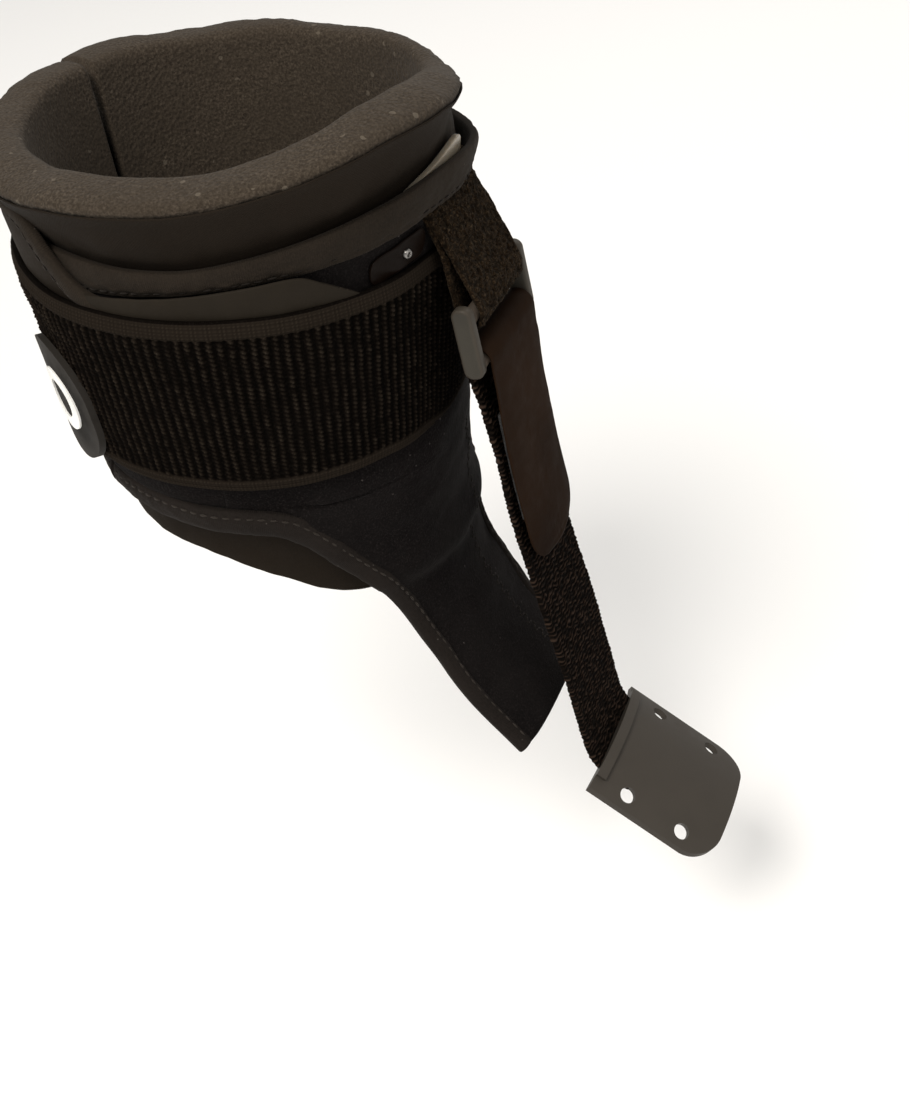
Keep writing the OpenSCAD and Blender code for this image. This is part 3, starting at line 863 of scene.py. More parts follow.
# --- the velour front, from under the strap down to the end of the tongue
FC, FU = resample([(54.4, 79), (53.7, 70), (53.5, 58), (54.6, 50), (55.0, 45), (54.2, 39),
                   (54.9, 33), (57.0, 26.5), (60.4, 20), (63.2, 14.5), (66.6, 8.2), (72.2, 0.9),
                   (78.4, -6.0), (83.4, -11.6)], 0.7)
FT = np.gradient(FC, axis=0)
FT /= np.linalg.norm(FT, axis=1, keepdims=True)
FN = np.stack([-FT[:, 1], FT[:, 0]], -1)
FN = np.stack([np.convolve(np.pad(FN[:, k], 12, mode="edge"), np.ones(25) / 25, "valid") for k in (0, 1)], -1)
tilt = smooth(40, 26, FC[:, 1])[:, None]
FN = FN * tilt + np.array([1.0, 0.0]) * (1 - tilt)
FN /= np.linalg.norm(FN, axis=1, keepdims=True)
FR = spline([-14, 0, 20, 36, 80], [76, 72, 64, 56, 54.8])(FC[:, 1])
EDGE = spline([-14, 20, 27, 34.5, 42, 54, 66, 75, 79.6], [24.6, 24.8, 25.2, 26.6, 29.6, 36.4, 43.0, 48.0, 50.6])


def front(i, y, depth=0.0):
    """A point on the front's outer surface at row i (may be fractional) and place y."""
    n = np.stack([np.interp(i, np.arange(len(FC)), FN[:, k]) for k in (0, 1)], -1)
    c = np.stack([np.interp(i, np.arange(len(FC)), FC[:, k]) for k in (0, 1)], -1)
    R = np.interp(i, np.arange(len(FC)), FR)
    R = np.maximum(R, np.abs(y) + 0.5)
    phi = np.arcsin(np.clip(y / R, -1, 1))
    sag = R - np.sqrt(R * R - y * y) + depth * np.cos(phi)
    return np.stack([c[..., 0] - n[..., 0] * sag, y - depth * np.sin(phi),
                     c[..., 1] - n[..., 1] * sag], -1)


v = np.linspace(-1, 1, 150)
rows_out, rows_in = [], []
for z in np.linspace(97, 79.6, 26):
    phi = v * 80.0
    Rp = 54.4 - (54.4 - (S(z) + 8.3)) * smooth(84, 93, z)
    w = smooth(50, 76, np.abs(phi))
    r = Rp * (1 - w) + (S(z) + 8.45) * w
    t = np.radians(phi)
    for rows, d in ((rows_out, 0.0), (rows_in, 2.1)):
        rows.append(np.stack([(r - d) * np.cos(t), (r - d) * np.sin(t), z + 0 * t], -1))
top_edge_y = np.abs(rows_out[-1][-1, 1])
for i in range(1, len(FC)):
    z = FC[i, 1]
    y = v * float(EDGE(z))
    if z > 70:                                        # let the sides run back to the shell
        k = float(smooth(70, 79.6, z))
        y = v * (float(EDGE(z)) * (1 - k) + 52.3 * k)
    a, b = front(np.full(len(v), i), y), front(np.full(len(v), i), y, 2.2)
    if z > 66:
        k = smooth(66, 79.6, z) * smooth(44, 52, np.abs(y))
        for q in (a, b):
            ang = np.degrees(np.arctan2(q[:, 1], q[:, 0]))
            rr = np.hypot(q[:, 0], q[:, 1])
            want = S(z) + (8.45 if q is a else 6.3)
            f = 1 + (want / rr - 1) * k
            q[:, 0] *= f
            q[:, 1] *= f
    rows_out.append(a)
    rows_in.append(b)
P = np.concatenate([np.array(rows_out), np.array(rows_in)[:, ::-1]], 1)
P = P.astype(float)
nn = grid_normals(P[:, :150], False)
nn *= np.sign((nn * (P[:, :150] - np.array([20.0, 0, 40]))).sum(-1).mean())
zz_, yy_ = P[:, :150, 2], P[:, :150, 1]
fold = (0.55 * fbm(P[:, :150] * np.array([1, 0.5, 1]), 0.075, 3, 81)
        + 0.9 * np.exp(-((zz_ - 45 - 0.10 * np.abs(yy_)) / 4.0) ** 2)
        - 0.7 * np.exp(-((zz_ - 37 - 0.15 * np.abs(yy_)) / 3.5) ** 2)
        + 0.5 * np.exp(-((zz_ - 62 + 0.12 * yy_) / 3.5) ** 2) * smooth(5, 25, np.abs(yy_)))
fold = fold * smooth(92, 84, zz_) * smooth(1.0, 0.8, np.abs(v))[None]
P[:, :150] += nn * fold[..., None]
uu = np.cumsum(np.r_[0, np.linalg.norm(np.diff(P[:, 75], axis=0), axis=1)])
puv = np.stack([P[..., 1], uu[:, None] + 0 * P[..., 1], 0 * P[..., 1]], -1)
velour_front = skin("front_velour_mesh", P, puv)
velour_tree = BVHTree.FromPolygons([tuple(q.co) for q in velour_front.data.vertices],
                                   [tuple(q.vertices) for q in velour_front.data.polygons])
BL = ("cuff", "tongue", (54.5, 0, 40), (54.5, 0, 25))
finish_piece(velour_front, VELOUR, nodes=["front_panel", "tongue_pad"], blend=BL)

# a fluffy zigzag seam down the front
rows = np.arange(4, len(FC) - 3)
y0 = 9.5 + 1.5 * np.sin(rows * 0.06)
zig = 1.1 * np.sign(np.sin(rows * 2 * math.pi / 5.0 + 0.3))
pts = front(rows.astype(float), y0 + zig, -0.35)
nrm3 = pts - front(rows.astype(float), y0 + zig, 1.0)
nrm3 /= np.linalg.norm(nrm3, axis=1, keepdims=True)
for k in range(len(pts)):                             # lay the thread on the folded velour
    hit = velour_tree.ray_cast(Vector((pts[k] + nrm3[k] * 5) * MM), Vector(-nrm3[k]), 0.012)[0]
    if hit is not None:
        pts[k] = np.array(hit) / MM + nrm3[k] * 0.08
zigzag = stitches("front_zigzag_seam", pts, nrm3, 1.75, 1.6, 0.24, lift=0.08)
finish_piece(zigzag, THREAD, blend=BL)

# --- one tape round the lower edge of the cuff, down the sides of the front and the tongue
ROWZ = FC[:, 1]


def row_of(z):
    return np.interp(-np.asarray(z, float), -ROWZ, np.arange(len(ROWZ)))


for side, tag in ((-1, "outer"), (1, "inner")):
    start = 101.0 if side < 0 else 159.0
    if side < 0:
        angs = [127.0, 118, 108, 99.0, 90.0, 82.0]
    else:
        angs = [231.0, 215, 198, 180, 165, 150, 135, 120, 105, 92.0, 82.0]
    pc, pn = [], []
    for a in angs:
        z = float(spline([80, 95, 114, 180], [75.3, 75.6, 76.0, 75.6])(min(a, 180)))
        lift_ = 7.5 + 1.3 * float(smooth(104, 82, a))
        pc.append(leg_point(np.array(side * a), np.array(z), np.array(lift_)))
        t = math.radians(side * a)
        pn.append(np.array([math.cos(t), math.sin(t), -0.095]))
    for z, y in ((74.2, 49.3), (70.5, 46.4), (64, 42.6), (58, 39.3), (52.5, 36.3), (46.5, 32.8), (41, 29.9),
                 (36.5, 27.8), (32, 26.3), (26, 25.4), (19, 25.2), (12, 25.2), (5, 25.2), (-1, 25.2),
                 (-6, 25.2), (-9.5, 25.2), (-11.3, 25.2)):
        i = row_of(z)
        q = front(np.array(i), np.array(side * y), 0.95)
        q2 = front(np.array(i), np.array(side * y), 0.05)
        if z > 62:
            kk = float(smooth(62, 75, z))
            t = math.atan2(q[1], q[0])
            rr = (1 - kk) * math.hypot(q[0], q[1]) + kk * (float(S(z)) + 9.7)
            q[0], q[1] = rr * math.cos(t), rr * math.sin(t)
        pc.append(q)
        pn.append((q2 - q) / np.linalg.norm(q2 - q))
    allp = np.hstack([np.array(pc), np.array(pn)])
    path, u = resample(allp, 0.55)
    C, N = path[:, :3], path[:, 3:]
    Tn = np.gradient(C, axis=0)
    Tn /= np.linalg.norm(Tn, axis=1, keepdims=True)
    N = N - Tn * (N * Tn).sum(1, keepdims=True)
    N /= np.linalg.norm(N, axis=1, keepdims=True)
    B = np.cross(N, Tn)
    # B should point up and towards the middle, to the velour
    want = np.stack([0 * C[:, 0], -side * smooth(-60, 60, C[:, 0]) * 1.0, 1 + 0 * C[:, 0]], -1)
    B *= np.sign((B * want).sum(1, keepdims=True).mean())
    width = spline([-16, 20, 40, 62, 75, 90], [4.9, 5.2, 5.8, 6.6, 7.8, 8.2])(C[:, 2])
    sb, sn, _ = rounded_section(1.0, 1.0, 18, nr=6, r=0.34)
    sb, sn = sb * 2, sn * 2
    full = 1 + 0.22 * np.cos(sb * math.pi / 2)
    secb = sb[None] * width[:, None] / 2
    secn = (sn * full)[None] * 1.75 + 0 * secb

    def tape_disp(P, U, SB, SN):
        k = (SN > 0.3)
        e = SB / (width[:, None] / 2)
        return (0.28 * fbm(P, 0.11, 3, 91) + 0.10 * fbm(P, 0.55, 2, 95)
                + 0.10 * np.sin(U * 2 * math.pi / 3.3) * np.exp(-((e - 0.6) / 0.3) ** 2)
                - 0.30 * np.exp(-((e - 0.58) / 0.09) ** 2)) * k

    tape = sweep("lower_binding_" + tag, C, N, B, secb, secn, u, tape_disp)
    finish_piece(tape, BINDING_DARK, nodes=["lower_binding", "front_panel_binding",
                                                       "tongue_binding"], blend=BL)
    Cs = C + B * (0.58 * width[:, None] / 2) + N * (1.75 * 1.12 - 0.1)
    st = stitches("lower_binding_stitches_" + tag, Cs, N, 3.2, 2.2, 0.30, lift=0.08)
    finish_piece(st, THREAD_PALE, blend=BL)

# --- rivets and their plate
th = np.linspace(-33, -15.5, 50)
for s in (-1, 1):
    tt = th if s < 0 else -th[::-1]
    a = np.abs(tt)
    edge = np.sqrt(np.clip(1 - ((a - 24.25) / 8.75) ** 8, 0, 1))
    zc = 145.2 + 0.18 * (22 - a)
    sb, sn, _ = rounded_section(7.4, 0.8, 20, nr=4)
    Z = zc[:, None] + sb[None] * (0.35 + 0.65 * edge[:, None])
    OFF = 8.9 + sn[None] + 0 * Z + 0.12 * np.cos(Z * 1.1 + np.radians(tt)[:, None] * 40)
    pl = on_cone("rivet_plate_" + ("outer" if s < 0 else "inner"), tt, Z, OFF)
    finish_piece(pl, GLOSSY, "cuff", ["rivet_plate"])
    # a domed tubular rivet
    prof = [(0.0, 0.15), (0.45, 0.15), (0.62, 0.35), (0.75, 0.75), (1.0, 0.95), (1.35, 0.98),
            (1.75, 0.82), (2.05, 0.45), (2.15, 0.10), (2.15, -0.3)]
    c0 = leg_point(np.array(s * 22.0), np.array(145.0), np.array(9.25))
    t = math.radians(s * 22.0)
    n = np.array([math.cos(t), math.sin(t), -0.095]); n /= np.linalg.norm(n)
    b1 = np.cross([0, 0, 1.0], n); b1 /= np.linalg.norm(b1)
    b2 = np.cross(n, b1)
    verts, faces, ns = [], [], 40
    for (r, h) in prof[1:]:
        for j in range(ns):
            a_ = 2 * math.pi * j / ns
            verts.append(c0 + n * h + (b1 * math.cos(a_) + b2 * math.sin(a_)) * r * 0.66)
    verts.append(c0 + n * prof[0][1])
    m_ = len(prof) - 1
    for i in range(m_ - 1):
        for j in range(ns):
            faces.append([i * ns + j, i * ns + (j + 1) % ns, (i + 1) * ns + (j + 1) % ns, (i + 1) * ns + j])
    for j in range(ns):
        faces.append([len(verts) - 1, j, (j + 1) % ns])
    faces.append([(m_ - 1) * ns + j for j in range(ns)])
    rv = make("rivet_" + ("outer" if s < 0 else "inner"), verts, faces, np.zeros((len(verts), 3)))
    finish_piece(rv, RIVET, "cuff", ["rivets"])

# ================================================================ closure
# --- closure flap: a thin lined sheet under the strap, its edge running up at the back
th = np.concatenate([np.linspace(-149, -100, 130), np.linspace(-99.5, -45, 90)])
ftop = spline([-149, -138, -126, -119.5, -116, -112, -107, -103, -99, -90, -45],
              [160.5, 161.5, 162.0, 161.2, 158.6, 152.9, 147.2, 144.2, 143.2, 143.0, 144.0])(th)
flow = 87.6 + 0 * th
sb, sn, _ = rounded_section(2.0, 1.5, 60, nr=4)
sbn = np.sign(sb) * np.minimum(np.abs(sb) / 1.0, 1.0)
Z = (ftop + flow)[:, None] / 2 + (ftop - flow)[:, None] / 2 * sbn[None]
stand = spline([80, 138, 147, 156, 163], [9.7, 9.8, 10.6, 10.9, 10.4])
OFF = stand(Z) + sn[None]
T = th[:, None] + 0 * Z
OFF = OFF + 0.25 * fbm(leg_point(T, Z, 0 * Z + 10), 0.06, 3, 101) * (OFF > 10)
flap = on_cone("closure_flap_mesh", th, Z, OFF)
finish_piece(flap, LINER, "flap", ["closure_flap"])

# its rounded tape
pts = [(-149, 160.5), (-138, 161.5), (-126, 162.0), (-119.5, 161.0), (-116, 158.0), (-112, 152.4),
       (-107, 146.6), (-102.5, 143.4), (-96, 142.2), (-88, 142.0)]
lin, u = resample(pts, 0.35)
Cc = leg_point(lin[:, 0], lin[:, 1] - 1.2, stand(lin[:, 1]) + 0.1)
Cc, u = resample(Cc[::4], 0.6)
ang = np.arctan2(Cc[:, 1], Cc[:, 0])
N = np.stack([np.cos(ang), np.sin(ang), -0.095 + 0 * ang], -1)
Tn = np.gradient(Cc, axis=0); Tn /= np.linalg.norm(Tn, axis=1, keepdims=True)
N = N - Tn * (N * Tn).sum(1, keepdims=True); N /= np.linalg.norm(N, axis=1, keepdims=True)
B = np.cross(N, Tn)
B *= np.sign(B[:, 2].mean())
sb, sn, _ = rounded_section(1.0, 1.0, 16, nr=6, r=0.36)
sb, sn = sb * 2, sn * 2
secb = sb[None] * 2.9 + 0 * u[:, None]
secn = (sn * (1 + 0.2 * np.cos(sb * math.pi / 2)))[None] * 1.35 + 0 * secb
ftape = sweep("flap_binding_mesh", Cc, N, B, secb, secn, u,
              lambda P, U, SB, SN: (0.25 * fbm(P, 0.12, 3, 105) + 0.07 * fbm(P, 0.6, 2, 108)
                                    - 0.22 * np.exp(-((SB + 1.6) / 0.3) ** 2)) * (SN > 0.2))
finish_piece(ftape, BINDING, "flap", ["flap_binding"])
Cs = Cc - B * 1.6 + N * 1.35 * 1.05
st = stitches("flap_binding_stitches", Cs, N, 3.0, 2.1, 0.24)
finish_piece(st, THREAD, "flap")

# --- smooth hook tab, with its angular front corner
th = np.linspace(-108, -31.5, 260)
ttop = spline([-108, -104, -93, -79, -66, -53, -50.5, -46, -38, -31.5],
              [143.2, 144.8, 146.3, 147.6, 149.0, 150.0, 149.7, 147.2, 141.9, 136.6])(th)
tlow = np.minimum(112 + 0 * th, ttop - 4)
sb, sn, _ = rounded_section(2.0, 1.0, 50, nr=4)
sbn = sb
Z = (ttop + tlow)[:, None] / 2 + (ttop - tlow)[:, None] / 2 * sbn[None]
hoff = spline([100, 138, 143, 147, 151], [10.9, 10.95, 11.3, 11.25, 11.1])
OFF = hoff(Z) + sn[None] * 0.95
T = th[:, None] + 0 * Z
OFF = OFF + (0.35 * fbm(leg_point(T, Z, 0 * Z + 10), 0.05, 3, 111)
             + 0.10 * fbm(leg_point(T, Z, 0 * Z + 10), 0.3, 2, 115)) * (sn[None] > 0)
htab = on_cone("flap_hook_tab_mesh", th, Z, OFF)
finish_piece(htab, SMOOTH, "flap", ["flap_hook_tab"])

# --- the wide ribbed strap, one piece from its free end round the front to its sewn end
RIB = 2.45
th = np.linspace(-196, 95, int(np.radians(291) * 58 / 0.45))
u = np.radians(th) * 58.0
zlow = spline([-196, -35, -17, -2, 15, 35, 95], [89.4, 89.4, 87.6, 85.4, 85.8, 87.5, 89.4])(th)
ztp = spline([-196, -104, -12, 10, 95], [141.3, 141.3, 140.2, 140.0, 141.0])(th)
coff = spline([-196, -60, -30, -12, 10, 40, 95], [12.5, 12.4, 11.2, 8.9, 8.7, 9.1, 9.5])(th)
nc = 150
wmm = 52.0
c01 = np.linspace(0, 1, nc)
cin = np.linspace(1, 0, 26)
edge = np.array([math.cos(a) for a in np.linspace(math.pi / 2, -math.pi / 2, 7)[1:-1]])
# section: outer face low->high, round the top, inner face high->low, round the bottom
C01 = np.concatenate([c01, 1 + 0.010 * edge, cin, -0.010 * edge])
NN = np.concatenate([0.9 + 0 * c01, 0.9 * np.sin(np.linspace(math.pi / 2, -math.pi / 2, 7)[1:-1]),
                     -0.9 + 0 * cin, 0.9 * np.sin(np.linspace(-math.pi / 2, math.pi / 2, 7)[1:-1])])
W = C01 * wmm                                         # mm from the lower edge
rail = smooth(0.0, 0.9, W) * smooth(wmm, wmm - 0.9, W)
inner_zone = smooth(3.0, 3.9, W) * smooth(wmm - 4.0, wmm - 4.9, W)
U = u[:, None] + 0 * W[None]
Wm = W[None] + 0 * U
wob = 0.18 * vnoise(np.stack([U, Wm, 0 * U], -1), 0.22, 121)
ph = 2 * math.pi * (U + wob) / RIB
rib = (0.5 + 0.5 * np.cos(ph)) ** 0.65
row = np.floor((U + wob) / RIB + 0.5)
half = np.cos(ph / 2) * np.where(row % 2 == 0, 1, -1)
bead = 0.5 + 0.5 * np.cos(2 * math.pi * (Wm / 1.36 + 0.35 * np.sin(row * 2.4) + 0.20 * np.sin(ph)))
jit = 0.85 + 0.3 * vnoise(np.stack([U, Wm, 0 * U], -1), 0.55, 124)
hgt = rib ** 1.25 * (0.42 + 0.58 * bead ** 0.9) * jit
fine = (0.5 + 0.5 * np.cos(2 * math.pi * U / 1.05)) * (0.55 + 0.45 * np.cos(2 * math.pi * Wm / 0.9))
edge_h = 0.66 + 0.30 * fine
level = hgt * inner_zone[None] + edge_h * (1 - inner_zone[None])
groove = np.exp(-((W - 3.4) / 0.35) ** 2) + np.exp(-((W - (wmm - 4.4)) / 0.35) ** 2) \
    + 0.6 * np.exp(-((W - (wmm - 1.5)) / 0.25) ** 2) + 0.6 * np.exp(-((W - 1.3) / 0.25) ** 2)
face = (NN > 0.85).astype(float)
height = (1.05 * (level - 0.55) - 0.32 * groove[None]) * face[None] * rail[None]
back_h = 0.15 * (0.5 + 0.5 * np.cos(ph)) * (NN < -0.85)
Z = zlow[:, None] + (ztp - zlow)[:, None] * C01[None]
T = th[:, None] + 0 * Z
pucker = (0.35 * fbm(np.stack([U * 0.6, Wm * 0.5, 0 * U], -1), 0.05, 3, 131)
          + 0.45 * np.exp(-((W[None] - 45) / 6) ** 2) * smooth(-70, -100, th)[:, None]
          - 0.55 * np.exp(-(np.minimum(W, wmm - W)[None] / 2.0) ** 2))
OFF = coff[:, None] + NN[None] + height - back_h + pucker * (NN[None] > -2)
strap = None
P = leg_point(T, Z, OFF)
# third channel: rib height, which the ribbed_elastic material paints as shade in the gaps; sides and back get a
# fixed darker value
puv = np.stack([U, Wm, np.clip(level, 0, 1) * face[None] + 0.3 * (1 - face[None])], -1)
strap = skin("wide_strap_mesh", P, puv)
hx, hy = 52.5 * math.cos(math.radians(-26)), 52.5 * math.sin(math.radians(-26))
ux, uy = -0.66, -0.75
SBL = ("cuff", "strap", (hx - 5 * ux, hy - 5 * uy, 115), (hx + 5 * ux, hy + 5 * uy, 115))
finish_piece(strap, RIBBED, nodes=["wide_strap", "wide_strap_base"], blend=SBL)

# sewn end of the strap on the inner side, with a boxed stitch
th = np.linspace(78.5, 95.5, 60)
sb, sn, _ = rounded_section(46.0, 1.3, 60, nr=5)
Z = 115.3 + sb[None] * (1 - 0.02 * (np.abs(th - 87)[:, None] > 8)) + 0 * th[:, None]
OFF = 11.1 + sn[None] + 0 * Z
T = th[:, None] + 0 * Z
OFF = OFF + 0.12 * fbm(leg_point(T, Z, 0 * Z), 0.15, 3, 141) * (sn[None] > 0)
pat = on_cone("strap_base_patch_mesh", th, Z, OFF)
finish_piece(pat, SMOOTH, "cuff", ["strap_base_patch"])
box = np.array([(80, 94), (94, 94), (94, 137), (80, 137), (80, 94), (94, 137)], float)
seg = np.vstack([np.linspace(a, b, 60)[:-1] for a, b in zip(box[:-1], box[1:])])
C, N, B = wrap_frame(seg[:, 0], seg[:, 1], 11.85 + 0 * seg[:, 0])
st = stitches("strap_base_stitches", C, N, 3.0, 2.2, 0.25)
finish_piece(st, THREAD, "cuff")

# grip on the strap's free end
th = np.linspace(-203, -195, 40)
sb, sn, _ = rounded_section(2.0, 2.0, 50, nr=6, r=0.9)
endk = np.sqrt(np.clip(1 - ((th + 195.5) / 8.2) ** 4, 0.02, 1))
Z = 115.3 + sb[None] * 25.2 * (0.80 + 0.20 * endk[:, None])
OFF = 12.6 + sn[None] * 1.25 * (0.35 + 0.65 * endk[:, None])
grip = on_cone("strap_end_grip_mesh", th, Z, OFF)
finish_piece(grip, TAB, "strap", ["strap_end_grip"])
C, N, B = wrap_frame(np.full(80, -197.5), np.linspace(92, 138.5, 80), 13.85 + np.zeros(80))
st = stitches("strap_grip_stitches", C, N, 2.8, 2.0, 0.24)
finish_piece(st, THREAD, "strap")

# ================================================================ the ring and the front strap
RA = np.array([67.0, 124.5])
RT = math.radians(9)
RBAR = RA + 12 * np.array([math.sin(RT), -math.cos(RT)])

# --- curly pile webbing hung from the cuff, round the upper bar
back_side = [(58.6, 151.5), (59.5, 147.4), (61.2, 140), (62.8, 131.5), (63.6, 127)]
arc = [(RA[0] + 3.2 * math.cos(a), RA[1] + 3.2 * math.sin(a))
       for a in np.linspace(math.pi, 2 * math.pi, 14)]
fronts = [(70.1, 127), (68.3, 131), (64.5, 138.5), (61.5, 146), (59.4, 151.5), (57.6, 156.5)]
C, N, B, u = xz_frame(back_side + arc + fronts, 0.33)
sb, sn, top = rounded_section(30.0, 1.35, 80, nr=5)


def pile_disp(P, U, SB, SN):
    q = np.stack([U, SB * 1.0, SN * 0.5], -1)
    curl = np.abs(vnoise(q, 0.85, 151)) + 0.7 * np.abs(vnoise(q, 1.9, 152))
    flat = (np.abs(SN) > 0.5) * smooth(15.0, 13.6, np.abs(SB))
    return 0.80 * (0.62 - curl) * (0.12 + 0.88 * flat) + 0.15 * vnoise(P, 0.2, 153)


# the webbing bends round the shin where it is sewn under the tape
sagk = smooth(140, 152, C[:, 2])
C = C[:, None] - np.array([1.0, 0, 0]) * (sagk[:, None] * (sb[None] ** 2) / 118.0)[..., None]
P = C + B[:, None] * sb[None, :, None] + N[:, None] * sn[None, :, None]
nn = grid_normals(P, True)
sg = np.sign(((P - P.mean(1, keepdims=True)) * nn).sum(-1).mean())
U = u[:, None] + 0 * sb[None]
P = P + nn * sg * pile_disp(P, U, sb[None] + 0 * U, sn[None] + 0 * U)[..., None]
pile = skin("anchor_strap_mesh", P, np.stack([U, sb[None] + 0 * U, sn[None] + 0 * U], -1))
finish_piece(pile, PILE, "cuff", ["anchor_strap", "anchor_base"])

# --- the ring
verts, faces, puvs = [], [], []


def add_prism(outline_r, ys, centre, tilt_a, mirror=1):
    base = len(verts)
    n = len(outline_r[0])
    for ring_pts, y in zip(outline_r, ys):
        for (a, b) in ring_pts:
            x = a * math.cos(tilt_a) - b * math.sin(tilt_a)
            z = a * math.sin(tilt_a) + b * math.cos(tilt_a)
            verts.append((centre[0] + x, y, centre[1] + z))
            puvs.append((a, b, y))
    for i in range(len(ys) - 1):
        for j in range(n):
            faces.append([base + i * n + j, base + i * n + (j + 1) % n,
                          base + (i + 1) * n + (j + 1) % n, base + (i + 1) * n + j])
    faces.append([base + j for j in range(n)][::-1])
    faces.append([base + (len(ys) - 1) * n + j for j in range(n)])


def rrect(w, h, r, n=10):
    pts = []
    for cx, cy, a0 in ((w / 2 - r, h / 2 - r, 0), (-w / 2 + r, h / 2 - r, 90),
                       (-w / 2 + r, -h / 2 + r, 180), (w / 2 - r, -h / 2 + r, 270)):
        for k_ in range(n + 1):
            a = math.radians(a0 + 90 * k_ / n)
            pts.append((cx + r * math.cos(a), cy + r * math.sin(a)))
    return pts


mid = (RA + RBAR) / 2
for s in (-1, 1):
    y_in = 16.8
    ys, rings = [], []
    for dy, ins in ((0.0, 0.8), (0.12, 0.45), (0.35, 0.15), (0.7, 0.0), (2.5, 0.0), (2.9, 0.15),
                    (3.15, 0.45), (3.25, 0.9), (3.18, 1.3)):
        ys.append(s * (y_in + dy))
        rings.append(rrect(5.5 - 2 * ins, 20.0 - 2 * ins, max(2.4 - ins, 0.8)))
    add_prism(rings, ys, mid + np.array([0.02, 0.95]), RT)
for c_, r_ in ((RA, 2.0), (RBAR, 2.6)):
    ys = [-18.0, 18.0]
    pts = [(r_ * math.cos(2 * math.pi * j / 48), r_ * math.sin(2 * math.pi * j / 48)) for j in range(48)]
    add_prism([pts, pts], ys, c_, 0.0)
ring = make("ring_mesh", verts, faces, puvs)
finish_piece(ring, RING, "ring", ["ring_buckle"])

# --- crepe elastic from the ring to the shoe insert, and its end sewn under the insert
EL = [(RBAR[0] - 4.0, RBAR[1] - 0.5), (65.9, 108.5), (68.4, 101), (71.3, 89), (72.9, 81), (75.9, 62.5),
      (79.2, 48.8), (83.3, 32.5), (87.5, 16.8), (90.9, 2.4), (95.2, -17.5), (96.9, -23.2),
      (99.6, -27.3), (103.6, -30.6), (108.6, -33.7)]
C, N, B, u = xz_frame(EL, 0.24)
sb, sn, top = rounded_section(32.0, 1.5, 84, nr=5)


def crepe_height(U, SB):
    q = np.stack([U * 0.9, SB * 0.55, 0 * U], -1)
    w = 0.55 * vnoise(q, 0.45, 161) + 0.35 * vnoise(q, 1.1, 162)
    wave = 0.30 * np.sin(SB * 2 * math.pi / 3.6 + 0.9 * np.sin(U * 0.8))
    a = 2 * math.pi * (U + w + wave) / 1.55
    h = (0.5 + 0.5 * np.cos(a)) ** 0.8
    return h * (0.75 + 0.35 * vnoise(q, 1.7, 163))


P = C[:, None] + B[:, None] * sb[None, :, None] + N[:, None] * sn[None, :, None]
U = u[:, None] + 0 * sb[None]
SBb = sb[None] + 0 * U
SNn = sn[None] + 0 * U
nn = grid_normals(P, True)
sg = np.sign(((P - P.mean(1, keepdims=True)) * nn).sum(-1).mean())
flat_end = smooth(-27, -24, C[:, 2])[:, None]
P = P + nn * sg * ((0.75 * (crepe_height(U, SBb) - 0.4) * (0.35 + 0.65 * smooth(16.0, 14.8, np.abs(SBb))))
                   * (np.abs(SNn) > 0.3) * (0.25 + 0.75 * flat_end)
                   + 0.15 * fbm(P, 0.1, 2, 165))[..., None]
ragged = 0.18 * vnoise(np.stack([U, 0 * U, SBb * 0.1], -1), 0.9, 167)
P[..., 1] += np.sign(SBb) * ragged * (np.abs(SBb) > 15)
# third channel: crimp height, which the crepe_elastic material paints as shade in the valleys
puv = np.stack([U, SBb, np.clip(crepe_height(U, SBb), 0, 1)], -1)
cut = int(np.argmin(np.abs(C[:, 2] + 18.5)))
elastic = skin("elastic_strap_mesh", P[:cut + 1], puv[:cut + 1])
finish_piece(elastic, CREPE, nodes=["elastic_strap"],
             blend=("front_strap", "strap_end", (RBAR[0] - 4.0, 0, RBAR[1] - 0.5), (95.2, 0, -17.5)))
foot = skin("strap_foot_mesh", P[cut - 1:], puv[cut - 1:])
finish_piece(foot, CREPE, nodes=["strap_foot"],
             blend=("strap_end", "insert", (97.0, 0, -22.0), (99.4, 0, -26.6)))

# --- smooth pull tab, folded over the lower bar
arc = [(RBAR[0] + 4.0 * math.cos(a), RBAR[1] + 4.0 * math.sin(a)) for a in np.linspace(math.pi, 0, 16)]
TL = [(RBAR[0] - 4.0, RBAR[1] - 1.0)] + arc + [(73.3, 108.6), (73.8, 105), (74.1, 102), (74.8, 95), (76.3, 83),
                                               (78.7, 69.2), (81.3, 56), (82.9, 49), (83.2, 47.4)]
C, N, B, u = xz_frame(TL, 0.5)
L = u[-1]
t = np.clip(L - u, 0, None)
cr = 10.0
hw = 16.1 - np.where(t < cr, cr - np.sqrt(np.clip(cr * cr - (cr - t) ** 2, 0, None)), 0)
hw = np.maximum(hw, 5.0)
sb, sn, top = rounded_section(2.0, 2.0, 60, nr=6, r=0.75)
# thinner than it is wide, so widths scale with the tab and thickness doesn't
th_ = 0.92 - 0.12 * smooth(10, 30, u)
secb = sb[None] * hw[:, None]
e = np.abs(secb) / hw[:, None]
secn = sn[None] * th_[:, None] * (1 - 0.0 * e)
crown = 0.55 * (1 - e ** 2) * smooth(14, 30, u)[:, None] - 0.15


def tab_disp(P, U, SB, SN):
    d_edge = np.minimum(hw[:, None] - np.abs(SB), t[:, None] + 0 * SB)
    return (0.25 * fbm(P, 0.06, 3, 171) + 0.05 * fbm(P, 0.5, 2, 174)
            - 0.16 * np.exp(-((d_edge - 1.7) / 0.35) ** 2)) * (SN > 0.2)


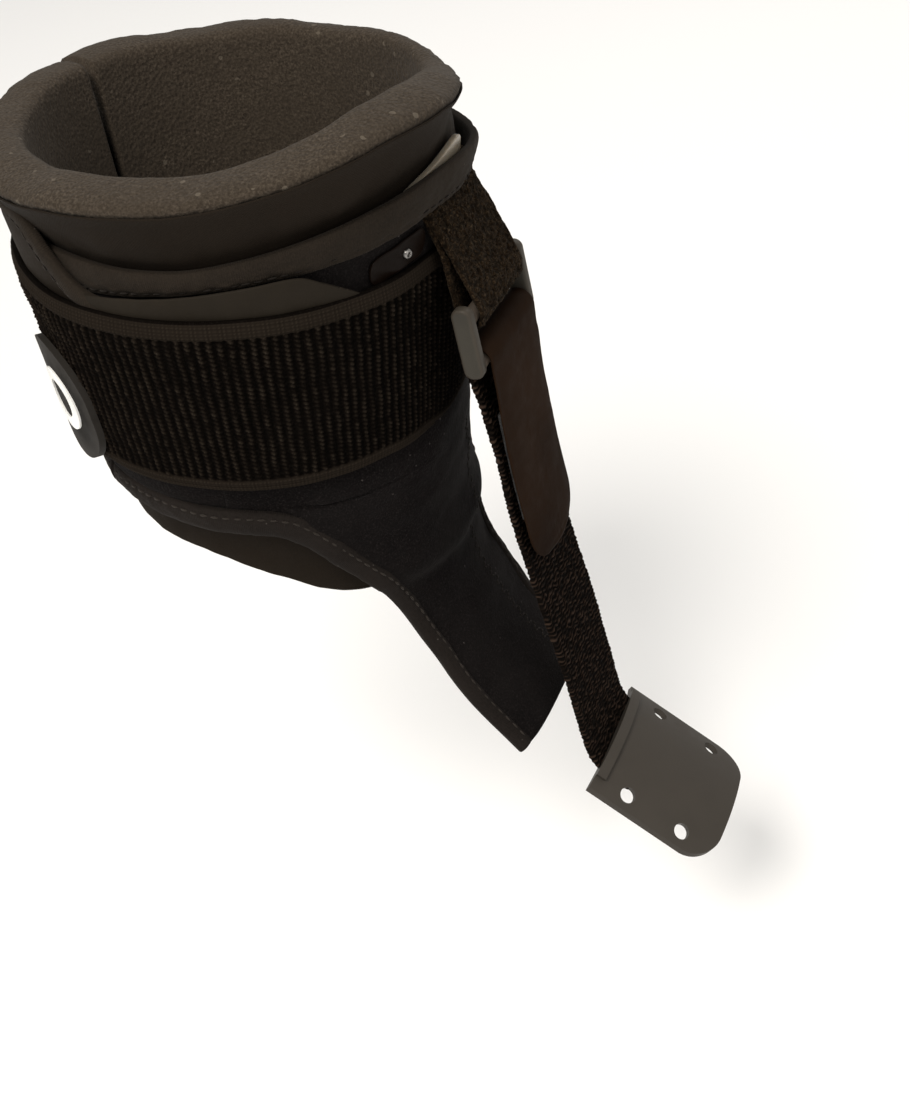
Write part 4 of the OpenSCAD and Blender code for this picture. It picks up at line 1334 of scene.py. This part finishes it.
Cc = C
P = Cc[:, None] + B[:, None] * secb[..., None] + N[:, None] * (secn + crown * 0.6)[..., None]
U = u[:, None] + 0 * secb
nn = grid_normals(P, True)
sg = np.sign(((P - P.mean(1, keepdims=True)) * nn).sum(-1).mean())
P = P + nn * sg * tab_disp(P, U, secb, secn)[..., None]
tabm = skin("pull_tab_mesh", P, np.stack([U, secb, secn], -1))
finish_piece(tabm, TAB, nodes=["tab_loop", "pull_tab"],
             blend=("front_strap", "tab", (73.5, 0, 107.6), (73.5, 0, 101.4)))

# ================================================================ CAD nodes that stay
def dress(node, mat, width=0.0):
    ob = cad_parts[node]
    ob.data.materials.clear()
    ob.data.materials.append(mat)
    if width:
        b_ = ob.modifiers.new("bevel", "BEVEL")
        b_.width, b_.segments, b_.limit_method, b_.angle_limit = width * MM, 3, "ANGLE", math.radians(35)
        b_.harden_normals = False
    return ob


# hook pad: the colour follows the bump cells, lighter on the raised hooks, painted shade between them
m = Mat("hook_pad", rough=0.6, spec=0.4)
o = m.obj()
vv = m.voro(o, 1000, rand=0.25)
m.color(m.ramp(vv, [(0.1, (0.022, 0.021, 0.020)), (0.5, (0.003, 0.003, 0.003))]))
m.bump(vv, -0.0005, 0.9)
HOOKP = m.m
dress("flap_hook_pad", HOOKP, 0.15)
dress("strap_hook_patch", HOOKP, 0.3)
dress("tab_hook_pad", HOOKP, 0.15)
dress("badge", BADGE, 0.6)
dress("badge_mark", PRINT, 0.12)
dress("shoe_insert", INSERT, 0.45)
dress("insert_lip", INSERT, 0.5)

# ================================================================ stage
bpy.ops.mesh.primitive_plane_add(size=6, location=(0, 0, -0.118))
floor = bpy.context.object
floor.name = "floor"
m = Mat("floor", rough=0.85, spec=0.2)
m.b.inputs["Base Color"].default_value = (0.88, 0.88, 0.88, 1)
floor.data.materials.append(m.m)


def area(name, loc, target, size, power, colour=(1, 1, 1)):
    d = bpy.data.lights.new(name, "AREA")
    d.shape, d.size, d.energy, d.color = "DISK", size, power, colour
    ob = bpy.data.objects.new(name, d)
    ob.location = loc
    ob.rotation_euler = (Vector(target) - Vector(loc)).to_track_quat("-Z", "Y").to_euler()
    bpy.context.scene.collection.objects.link(ob)
    return ob


area("key", (-0.15, -0.75, 1.15), (0, 0, 0.08), 0.6, 15.5, (1, 0.95, 0.88))
area("fill", (-1.1, -0.5, 0.5), (0, 0, 0.08), 0.9, 0.8, (1, 0.96, 0.92))
area("front", (1.0, -0.55, 0.75), (0.03, 0, 0.08), 0.8, 4, (1, 0.95, 0.89))
area("back", (0.2, 1.1, 0.9), (0, 0, 0.1), 0.9, 5, (1, 0.97, 0.93))
w = bpy.data.worlds.new("world")
w.use_nodes = True
w.node_tree.nodes["Background"].inputs["Color"].default_value = (1, 0.985, 0.955, 1)
w.node_tree.nodes["Background"].inputs["Strength"].default_value = 0.6
bpy.context.scene.world = w
